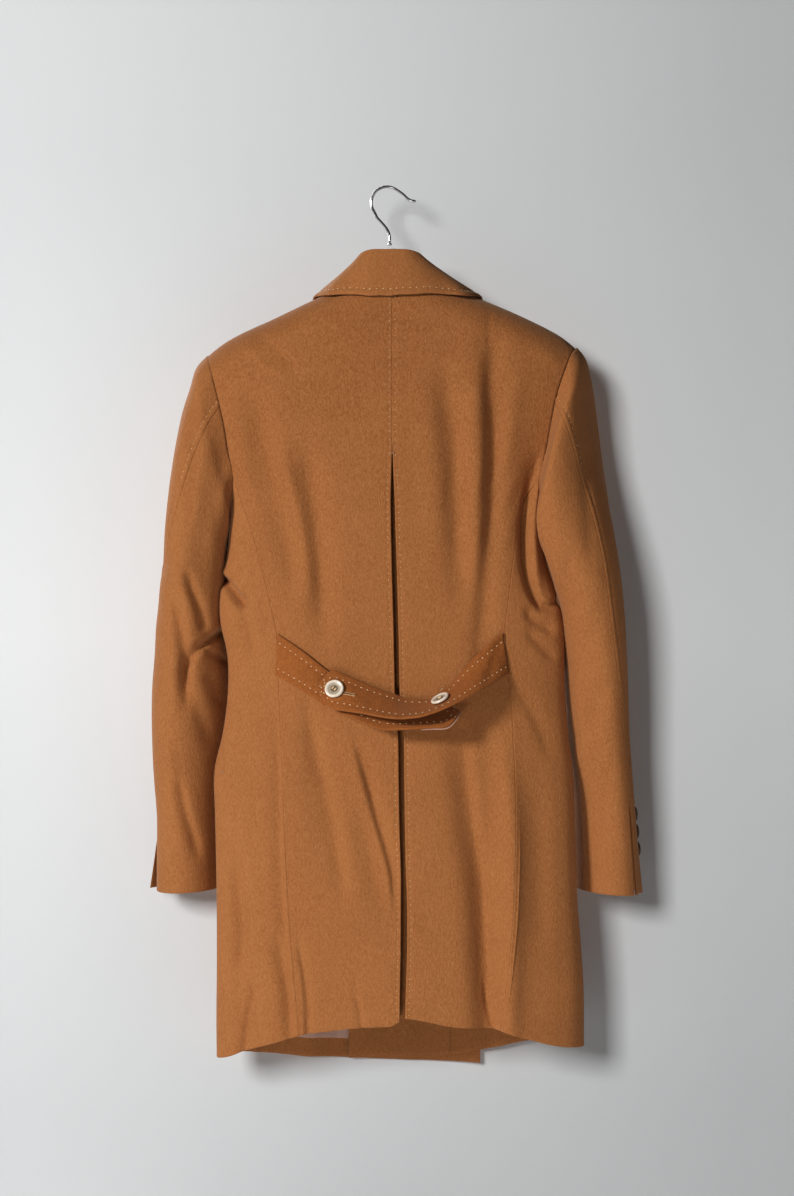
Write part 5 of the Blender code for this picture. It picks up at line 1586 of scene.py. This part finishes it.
# ------------------------ hanger
@dataclass(frozen=True)
class Hanger:
    """The hook of bent wire, its ferrule and the lacquered bar."""

    finishes: dict[str, Finish]
    wire: float = 0.00165
    radius: float = 0.0193
    centre_x: float = -0.0030
    sides: int = 20
    step: float = 0.0008
    stem: tuple[Place, ...] = ((0.0, -0.0665), (0.0, -0.0600), (-0.0012, -0.0540),
                               (-0.0042, -0.0485), (-0.0095, -0.0422), (-0.0150, -0.0360))
    tip: tuple[Place, ...] = ((0.0165, -0.0075), (0.0225, -0.0130), (0.0265, -0.0150),
                              (0.0320, -0.0158))
    turns: tuple[float, float, int] = (214.0, 52.0, 15)
    round_steps: float = 3.0
    round_share: float = 0.75
    ferrule: tuple[Place, ...] = ((0.70, 0.0), (0.92, 0.04), (1.0, 0.16), (1.0, 0.62),
                                  (0.94, 0.76), (0.80, 0.86), (0.74, 1.0))
    flat_within: float = math.radians(40.0)
    rounding: int = 2

    def path(self) -> Array:
        """The hook's centre line, from its stem over the crest to its tip, as (x, z)."""
        centre_z = -math.sqrt((self.radius - self.wire) ** 2 - self.centre_x ** 2)
        first, last, count = self.turns
        crest = [(self.centre_x + self.radius * math.cos(turn), centre_z + self.radius * math.sin(turn))
                 for turn in np.radians(np.linspace(first, last, count))]
        return np.array([*self.stem, *crest, *self.tip])

    def build(self) -> None:
        """Build the hook, the ferrule and the bar."""
        self.bend_hook()
        low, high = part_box("hook_nut")
        nut = lathe("hook_ferrule", self.ferrule, (high[0] - low[0]) / 2.0, high[2] - low[2],
                    self.sides, low[2])
        dress(nut, self.finishes["chrome"], ["hook_nut"])
        self.shape_bar()

    def bend_hook(self) -> None:
        """Bend the wire along its path and round its ends."""
        line = even_line(self.path(), self.step)
        tangent = unit(np.gradient(line, axis=0))
        steps = np.minimum(np.arange(len(line)), np.arange(len(line))[::-1])
        shares = np.clip(steps / self.round_steps, 0.0, 1.0)
        thick = self.wire * np.sqrt(1.0 - self.round_share * (1.0 - shares) ** 2)[:, None]
        turn = around(self.sides)
        aside = thick * np.cos(turn)
        rings = np.stack([line[:, :1] - tangent[:, 1:] * aside, thick * np.sin(turn),
                          line[:, 1:] + tangent[:, :1] * aside], axis=-1)
        dress(lofted("hook_wire", rings), self.finishes["chrome"], ["hanger_hook"])

    def shape_bar(self) -> None:
        """Round the bar off from its own solid."""
        bar = mesh_object("hanger_bar", *Skin.welded("hanger"))
        mesh = bmesh.new()
        mesh.from_mesh(bar.data)
        bmesh.ops.join_triangles(mesh, faces=mesh.faces, angle_face_threshold=self.flat_within,
                                 angle_shape_threshold=self.flat_within)
        mesh.to_mesh(bar.data)
        mesh.free()
        bar.data.shade_smooth()
        round_off = bar.modifiers.new("rounded", "SUBSURF")
        round_off.levels = round_off.render_levels = self.rounding
        dress(bar, self.finishes["white_lacquer"], ["hanger"])


# ------------------------ finishes
class Tree:
    """Short ways to add and join shader nodes."""

    def __init__(self, tree: bpy.types.NodeTree) -> None:
        """Keep the node tree."""
        self.tree = tree

    def add(self, kind: str, settings: dict | None = None, **inputs) -> bpy.types.Node:
        """Add a node.

        Args:
            kind: The node's Blender type.
            settings: Properties of the node.
            **inputs: Values or sockets for its inputs, with spaces written as underscores.

        Returns:
            The node.
        """
        node = self.tree.nodes.new(kind)
        for name, value in (settings or {}).items():
            setattr(node, name, value)
        self.fill(node, **inputs)
        return node

    def fill(self, node: bpy.types.Node, **inputs) -> None:
        """Feed several inputs of a node, with spaces in their names written as underscores."""
        for name, value in inputs.items():
            self.feed(node.inputs[name.replace("_", " ")], value)

    def feed(self, socket: Socket, value) -> None:
        """Join a socket to another one, or set its value; a colour is given without alpha."""
        if isinstance(value, Socket):
            self.tree.links.new(value, socket)
        elif socket.type == "RGBA":
            socket.default_value = (*value, 1.0)
        else:
            socket.default_value = value

    def place(self) -> Socket:
        """The place on the object, in metres."""
        return self.add("ShaderNodeTexCoord").outputs["Object"]

    def stretched(self, vector: Socket, scale: Spot, turn: Spot = (0.0, 0.0, 0.0)) -> Socket:
        """A place scaled along each axis and turned."""
        return self.add("ShaderNodeMapping", Vector=vector, Scale=scale, Rotation=turn).outputs[0]

    def maths(self, operation: str, first, second=0.0) -> Socket:
        """A Math node's result."""
        node = self.add("ShaderNodeMath", {"operation": operation})
        self.feed(node.inputs[0], first)
        self.feed(node.inputs[1], second)
        return node.outputs[0]

    def mix(self, factor, first, second, blend: str = "MIX") -> Socket:
        """A colour mixed from two."""
        node = self.add("ShaderNodeMix", {"data_type": "RGBA", "blend_type": blend})
        self.feed(node.inputs[0], factor)
        self.feed(node.inputs[6], first)
        self.feed(node.inputs[7], second)
        return node.outputs[2]

    def noise(self, vector: Socket, scale: float, detail: float = 2.0, rough: float = 0.5) -> Socket:
        """The value of a noise texture."""
        node = self.add("ShaderNodeTexNoise", Vector=vector, Scale=scale, Detail=detail,
                        Roughness=rough)
        return node.outputs[0]

    def spread(self, value: Socket, low: float, high: float, start: float = 0.0,
               end: float = 1.0) -> Socket:
        """A value spread from low..high to start..end."""
        return self.add("ShaderNodeMapRange", Value=value, From_Min=low, From_Max=high,
                        To_Min=start, To_Max=end).outputs[0]

    def bump(self, height: Socket, strength: float, distance: float) -> Socket:
        """The normal of a surface with a relief."""
        return self.add("ShaderNodeBump", Strength=strength, Distance=distance,
                        Height=height).outputs[0]


def new_group(name: str, inputs: Sequence[tuple[str, str]],
              outputs: Sequence[tuple[str, str]]) -> tuple[Tree, bpy.types.Node, bpy.types.Node]:
    """An empty shader node group.

    Args:
        name: Its name.
        inputs: Name and socket type of each input.
        outputs: Name and socket type of each output.

    Returns:
        Its tree, its input node and its output node.
    """
    group = bpy.data.node_groups.new(name, "ShaderNodeTree")
    for direction, sockets in (("INPUT", inputs), ("OUTPUT", outputs)):
        for label, kind in sockets:
            group.interface.new_socket(label, in_out=direction, socket_type=kind)
    tree = Tree(group)
    return tree, tree.add("NodeGroupInput"), tree.add("NodeGroupOutput")


def new_material(name: str) -> tuple[Finish, Tree, bpy.types.Node]:
    """A new material, its tree and its Principled shader."""
    material = bpy.data.materials.new("look_" + name)
    material.use_nodes = True
    return material, Tree(material.node_tree), material.node_tree.nodes["Principled BSDF"]


@dataclass(frozen=True)
class Mottle:
    """One layer of unevenness, and the share in which it tints and raises the cloth."""

    scale: float
    detail: float
    rough: float
    tint: float
    rise: float = 0.0


class Nap:
    """The brushed surface of wool: soft mottling, short fibres that lie downwards, and fine grain.

    Its last input is painted shade: it darkens the cloth in broad, slanting noisy sweeps, which grow
    from nothing at the lower of two given heights to full at the upper one.
    """

    CLOUD = Mottle(12.0, 3.0, 0.55, 0.34)
    PATCH = Mottle(200.0, 4.0, 0.7, 0.22, 0.5)
    FIBRE = Mottle(480.0, 3.0, 0.7, 0.55, 0.6)
    GRAIN = Mottle(900.0, 2.0, 0.6, 0.45, 0.4)
    CONTRAST = (0.32, 0.68)
    LIE = (1.0, 1.0, 0.55)
    ROUGH = (0.80, 0.95)
    # Painted shade: the noise, contrast, stretch, slant and heights of the sweeps that darken the upper
    # back.
    SWEEP = Mottle(13.0, 4.0, 0.6, 1.0)
    SWEEP_CONTRAST = (0.36, 0.64, 0.50, 1.0)
    SWEEP_LIE = (1.0, 1.0, 3.4)
    PAINTED_SHADE_HEIGHTS = (-0.56, -0.14)
    SLANT = 0.30

    def __init__(self) -> None:
        """Build the node group."""
        tree, given, out = new_group(
            "brushed_wool",
            [("Base", "NodeSocketColor"), ("Shade", "NodeSocketColor"), ("Tip", "NodeSocketColor"),
             ("Grain", "NodeSocketFloat"), ("Smudge", "NodeSocketFloat")],
            [("Colour", "NodeSocketColor"), ("Height", "NodeSocketFloat"),
             ("Roughness", "NodeSocketFloat")])
        base, shade, tip, amount, smudge = given.outputs[:5]
        place = tree.place()
        brushed = tree.stretched(place, self.LIE)
        cloud = self.layer(tree, place, self.CLOUD)
        patch = self.layer(tree, brushed, self.PATCH)
        fibre = self.layer(tree, brushed, self.FIBRE)
        grain = self.layer(tree, place, self.GRAIN)
        colour = tree.mix(tree.maths("MULTIPLY", cloud, self.CLOUD.tint), base, shade)
        colour = tree.mix(tree.maths("MULTIPLY", patch, self.PATCH.tint), colour, shade)
        # painted shade: the sweeps darken the upper back towards the collar
        colour = tree.mix(tree.maths("MULTIPLY", self.painted_shade_sweeps(tree, place), smudge), colour, shade)
        for value, mottle, second in ((fibre, self.FIBRE, tip), (grain, self.GRAIN, shade)):
            share = tree.maths("MULTIPLY", tree.maths("MULTIPLY", value, mottle.tint), amount)
            colour = tree.mix(share, colour, second)
        height = tree.maths("ADD", tree.maths("MULTIPLY", fibre, self.FIBRE.rise),
                            tree.maths("MULTIPLY", grain, self.GRAIN.rise))
        height = tree.maths("ADD", height, tree.maths("MULTIPLY", patch, self.PATCH.rise))
        tree.fill(out, Colour=colour, Height=height,
                  Roughness=tree.spread(fibre, 0.0, 1.0, *self.ROUGH))
        self.group = tree.tree

    def layer(self, tree: Tree, vector: Socket, mottle: Mottle) -> Socket:
        """One layer's value, from 0 to 1."""
        noise = tree.noise(vector, mottle.scale, mottle.detail, mottle.rough)
        return tree.spread(noise, *self.CONTRAST)

    def painted_shade_sweeps(self, tree: Tree, place: Socket) -> Socket:
        """Painted shade in slanting noisy sweeps, strongest where the back meets the collar."""
        across = tree.stretched(place, self.SWEEP_LIE, (0.0, self.SLANT, 0.0))
        noise = tree.noise(across, self.SWEEP.scale, self.SWEEP.detail, self.SWEEP.rough)
        sweep = tree.spread(noise, *self.SWEEP_CONTRAST)
        height = tree.add("ShaderNodeSeparateXYZ", Vector=place).outputs[2]
        return tree.maths("MULTIPLY", sweep, tree.spread(height, *self.PAINTED_SHADE_HEIGHTS))


@dataclass(frozen=True)
class Wool:
    """Brushed wool cloth."""

    name: str
    base: Colour
    shade: Colour
    tip: Colour
    grain: float = 1.0
    # Share of painted shade that darkens the cloth towards the collar.
    smudge: float = 0.0
    bump: float = 0.0006
    bump_strength: float = 0.7
    sheen: float = 0.15
    sheen_rough: float = 0.40
    sheen_tint: Colour = (1.0, 0.80, 0.58)
    specular: float = 0.12

    def make(self, nap: Nap) -> Finish:
        """Build the material."""
        material, tree, shader = new_material(self.name)
        cloth = tree.add("ShaderNodeGroup", {"node_tree": nap.group}, Base=self.base,
                         Shade=self.shade, Tip=self.tip, Grain=self.grain, Smudge=self.smudge)
        relief = tree.bump(cloth.outputs["Height"], self.bump_strength, self.bump)
        tree.fill(shader, Base_Color=cloth.outputs["Colour"], Roughness=cloth.outputs["Roughness"],
                  Normal=relief, Sheen_Weight=self.sheen, Sheen_Roughness=self.sheen_rough,
                  Sheen_Tint=self.sheen_tint, Specular_IOR_Level=self.specular)
        return material


@dataclass(frozen=True)
class Hard:
    """A smooth hard finish with a slight unevenness: lacquer, metal, satin or thread."""

    name: str
    base: Colour
    shade: Colour
    scale: float
    stretch: Spot = (1.0, 1.0, 1.0)
    rough: Place = (0.25, 0.35)
    metallic: float = 0.0
    bump: float = 0.00005
    bump_strength: float = 0.4
    sheen: float = 0.0
    contrast: Place = (0.30, 0.70)
    fine_times: float = 9.0

    def make(self) -> Finish:
        """Build the material."""
        material, tree, shader = new_material(self.name)
        place = tree.stretched(tree.place(), self.stretch)
        cloud = tree.spread(tree.noise(place, self.scale, 4.0, 0.6), *self.contrast)
        fine = tree.noise(place, self.scale * self.fine_times)
        relief = tree.bump(fine, self.bump_strength, self.bump)
        tree.fill(shader, Base_Color=tree.mix(cloud, self.base, self.shade),
                  Roughness=tree.spread(fine, 0.0, 1.0, *self.rough), Normal=relief,
                  Metallic=self.metallic, Sheen_Weight=self.sheen)
        return material


@dataclass(frozen=True)
class Horn:
    """Turned horn: a polished rim round a duller dish, darker where it is drilled.

    Each edge is a pair of radii between which one tone goes over into the next.
    """

    name: str
    rim: Colour
    rim_shade: Colour
    dish: Colour
    edge: Place
    well: Colour
    well_edge: Place
    rough: Place = (0.22, 0.45)
    cloud_scale: float = 260.0
    contrast: Place = (0.30, 0.70)
    dish_cloud: float = 0.25
    line_scale: float = 900.0
    line_stretch: Spot = (1.0, 0.25, 1.0)
    bump: float = 0.00006
    bump_strength: float = 0.3

    def make(self) -> Finish:
        """Build the material."""
        material, tree, shader = new_material(self.name)
        place = tree.place()
        radius = tree.add("ShaderNodeVectorMath", {"operation": "LENGTH"})
        tree.feed(radius.inputs[0], tree.stretched(place, (1.0, 1.0, 0.0)))
        inside, deep = (tree.spread(radius.outputs["Value"], outer, inner)
                        for inner, outer in (self.edge, self.well_edge))
        cloud = tree.spread(tree.noise(place, self.cloud_scale, 4.0, 0.6), *self.contrast)
        line = tree.noise(tree.stretched(place, self.line_stretch), self.line_scale, 3.0)
        rim = tree.mix(cloud, self.rim, self.rim_shade)
        dish = tree.mix(tree.maths("MULTIPLY", cloud, self.dish_cloud), self.dish, self.rim_shade)
        tree.fill(shader, Base_Color=tree.mix(deep, tree.mix(inside, rim, dish), self.well),
                  Roughness=tree.spread(inside, 0.0, 1.0, *self.rough),
                  Normal=tree.bump(line, self.bump_strength, self.bump))
        return material


CAMEL = Wool("wool", (0.325, 0.115, 0.033), (0.200, 0.060, 0.013), (0.480, 0.213, 0.080))
WOOLS = (
    CAMEL,
    # painted shade: the camel darkened in sweeps towards the collar, for the backs
    replace(CAMEL, name="yoke_wool", smudge=0.88),
    # painted shade: a darker, deeper copy of the camel for the belt's tabs
    Wool("belt_wool", (0.285, 0.082, 0.017), (0.135, 0.033, 0.006), (0.430, 0.160, 0.043), 0.9),
)
CREAM = Hard("cream_thread", (0.800, 0.590, 0.340), (0.640, 0.430, 0.220), 900.0,
             rough=(0.6, 0.8), bump=0.0002, sheen=0.2)
SMOOTH = (
    Hard("satin", (0.470, 0.265, 0.190), (0.350, 0.190, 0.130), 60.0, (1.0, 1.0, 0.2),
         (0.42, 0.55), bump=0.0001),
    Hard("white_lacquer", (0.860, 0.840, 0.870), (0.800, 0.780, 0.810), 30.0),
    Hard("chrome", (0.500, 0.500, 0.510), (0.420, 0.420, 0.430), 90.0, rough=(0.14, 0.22),
         metallic=1.0),
    CREAM,
    replace(CREAM, name="tan_thread", base=(0.330, 0.140, 0.050), shade=(0.230, 0.085, 0.026)),
    replace(CREAM, name="silk_thread", base=(0.640, 0.380, 0.170), shade=(0.480, 0.260, 0.110)),
    Hard("slit_shade", (0.060, 0.022, 0.008), (0.040, 0.015, 0.006), 900.0, rough=(0.8, 0.9)),
    Horn("light_horn", (0.820, 0.760, 0.660), (0.640, 0.540, 0.420), (0.340, 0.275, 0.205),
         (0.0068, 0.0082), (0.105, 0.068, 0.042), (0.0034, 0.0052)),
    Horn("dark_horn", (0.055, 0.036, 0.026), (0.130, 0.085, 0.055), (0.040, 0.026, 0.018),
         (0.0060, 0.0090), (0.030, 0.020, 0.014), (0.0030, 0.0045)),
)


def make_finishes() -> dict[str, Finish]:
    """Every finish of the coat and its hanger, by name."""
    nap = Nap()
    finishes = {wool.name: wool.make(nap) for wool in WOOLS}
    finishes.update({finish.name: finish.make() for finish in SMOOTH})
    return finishes


# ------------------------ studio
class Reach(Enum):
    """What a lamp lights: how its list of surfaces is meant, and the surfaces."""

    COAT = ("EXCLUDE", ("wall", "floor"))
    ROOM = ("EXCLUDE", ("wall",))
    WALL = ("INCLUDE", ("wall",))
    FLOOR = ("INCLUDE", ("floor",))


@dataclass(frozen=True)
class Lamp:
    """A square soft light that looks at the coat's middle."""

    name: str
    place: Spot
    size: float
    power: float
    colour: Colour
    reach: Reach = Reach.ROOM

    def build(self, aim: Spot, surfaces: dict[str, Piece]) -> None:
        """Hang the light and have it light what it is there for.

        Args:
            aim: The place that it looks at.
            surfaces: The studio's surfaces by name.
        """
        data = bpy.data.lights.new(self.name, "AREA")
        data.size = self.size
        data.energy = self.power
        data.color = self.colour
        lamp = bpy.data.objects.new(self.name, data)
        lamp.location = self.place
        lamp.rotation_euler = (Vector(aim) - lamp.location).to_track_quat("-Z", "Y").to_euler()
        bpy.context.scene.collection.objects.link(lamp)
        named = bpy.data.collections.new(self.name + "_names")
        lamp.light_linking.receiver_collection = named
        state, names = self.reach.value
        for number, name in enumerate(names):
            named.objects.link(surfaces[name])
            named.collection_objects[number].light_linking.link_state = state


@dataclass(frozen=True)
class Studio:
    """Pale floor, pale wall behind the coat, soft lights and the camera.

    The surfaces carry painted shade: they darken a little across and away from a height, as a lamp's
    light falls off; each fade gives the two places and the two shares of the tone there.
    """

    camera: Spot = (0.009, -2.2, -0.4996)
    lens: float = 54.3
    film: float = 36.0
    aim: Spot = (0.0, 0.0, -0.5)
    half: float = 4.0
    floor_z: float = -1.36
    wall_y: float = 0.0835
    wall_top: float = 2.4
    pale: Colour = (0.700, 0.715, 0.725)
    pale_shade: Colour = (0.670, 0.685, 0.700)
    cloud_scale: float = 2.5
    fade_across: tuple[float, float, float, float] = (-0.45, 0.45, 1.0, 0.74)
    fade_height: float = -0.55
    fade_off: tuple[float, float, float, float] = (0.0, 0.60, 1.0, 0.88)
    grain_scale: float = 420.0
    grain: float = 0.0004
    grain_strength: float = 0.15
    rough: float = 0.85
    sky: Colour = (0.86, 0.80, 0.73)
    sky_light: float = 0.06
    sky_seen: float = 0.72
    lamps: tuple[Lamp, ...] = (
        Lamp("key", (-3.30, -3.64, 1.00), 0.86, 250.0, (1.0, 0.985, 0.950), Reach.COAT),
        Lamp("low", (-0.45, -1.70, -1.10), 0.40, 6.5, (1.0, 0.985, 0.960), Reach.COAT),
        Lamp("wall_key", (-1.08, -3.00, 0.20), 0.70, 106.0, (1.0, 0.995, 0.985), Reach.WALL),
        Lamp("fill", (2.1, -2.2, -0.6), 1.6, 8.0, (1.0, 0.98, 0.96)),
        Lamp("behind", (-1.6, 3.2, 1.1), 2.4, 150.0, (1.0, 0.98, 0.96)),
        Lamp("floor_light", (0.0, -0.6, 3.6), 3.0, 250.0, (1.0, 0.99, 0.98), Reach.FLOOR),
    )

    def build(self) -> None:
        """Set the studio up."""
        scene = bpy.context.scene
        scene.view_settings.view_transform = "Standard"
        self.stand_camera(scene)
        self.surroundings(scene)
        half, low, back, top = self.half, self.floor_z, self.wall_y, self.wall_top
        floor = self.surface("floor", [(-half, -half, low), (half, -half, low), (half, half, low),
                                       (-half, half, low)], False)
        wall = self.surface("wall", [(-half, back, low), (half, back, low), (half, back, top),
                                     (-half, back, top)], True)
        wall.visible_shadow = wall.visible_diffuse = wall.visible_glossy = False
        for lamp in self.lamps:
            lamp.build(self.aim, {"floor": floor, "wall": wall})

    def stand_camera(self, scene: bpy.types.Scene) -> None:
        """Stand the camera level, looking at the coat's back."""
        data = bpy.data.cameras.new("camera")
        data.lens = self.lens
        data.sensor_width = self.film
        camera = bpy.data.objects.new("camera", data)
        camera.location = self.camera
        camera.rotation_euler = (math.radians(90.0), 0.0, 0.0)
        scene.collection.objects.link(camera)
        scene.camera = camera

    def surroundings(self, scene: bpy.types.Scene) -> None:
        """Surround the scene with pale grey, and light it with a little of it."""
        world = bpy.data.worlds.new("studio")
        scene.world = world
        world.use_nodes = True
        tree = Tree(world.node_tree)
        seen = tree.add("ShaderNodeLightPath").outputs["Is Camera Ray"]
        tree.fill(world.node_tree.nodes["Background"], Color=self.sky,
                  Strength=tree.spread(seen, 0.0, 1.0, self.sky_light, self.sky_seen))

    def surface(self, name: str, corners: Sequence[Spot], one_sided: bool) -> Piece:
        """A flat pale surface of the studio.

        Args:
            name: Its name.
            corners: Its corners.
            one_sided: Whether it is clear from behind.

        Returns:
            The object.
        """
        piece = mesh_object(name, np.array(corners), [(0, 1, 2, 3)])
        material, tree, shader = new_material(name)
        place = tree.place()
        cloud = tree.noise(place, self.cloud_scale, 3.0)
        grain = tree.noise(place, self.grain_scale, 3.0)
        apart = tree.add("ShaderNodeSeparateXYZ", Vector=place)
        # painted shade: the tone falls towards +X and away from the fade height
        aside = tree.spread(apart.outputs[0], *self.fade_across)
        off = tree.maths("ABSOLUTE", tree.maths("SUBTRACT", apart.outputs[2], self.fade_height))
        dim = tree.maths("MULTIPLY", aside, tree.spread(off, *self.fade_off))
        colour = tree.mix(1.0, tree.mix(cloud, self.pale, self.pale_shade), dim, "MULTIPLY")
        tree.fill(shader, Base_Color=colour, Roughness=self.rough,
                  Normal=tree.bump(grain, self.grain_strength, self.grain))
        if one_sided:
            clear = tree.add("ShaderNodeBsdfTransparent")
            choice = tree.add("ShaderNodeMixShader")
            backs = tree.add("ShaderNodeNewGeometry").outputs["Backfacing"]
            for socket, value in zip(choice.inputs, (backs, shader.outputs[0], clear.outputs[0])):
                tree.feed(socket, value)
            tree.feed(material.node_tree.nodes["Material Output"].inputs[0], choice.outputs[0])
        piece.data.materials.append(material)
        return piece


def main() -> None:
    """Build the coat, its hanger and the studio."""
    logging.basicConfig(level=logging.INFO, format="%(name)s: %(message)s")
    finishes = make_finishes()
    tailor = Tailor(finishes)
    body = Body(tailor)
    for part in (body, Sleeves(tailor), Collar(tailor), HalfBelt(tailor), Pockets(tailor, body),
                 Buttons(finishes), Hanger(finishes)):
        LOG.info("building: %s", type(part).__name__)
        part.build()
    tailor.declare()
    Studio().build()


if __name__ == "__main__":
    main()
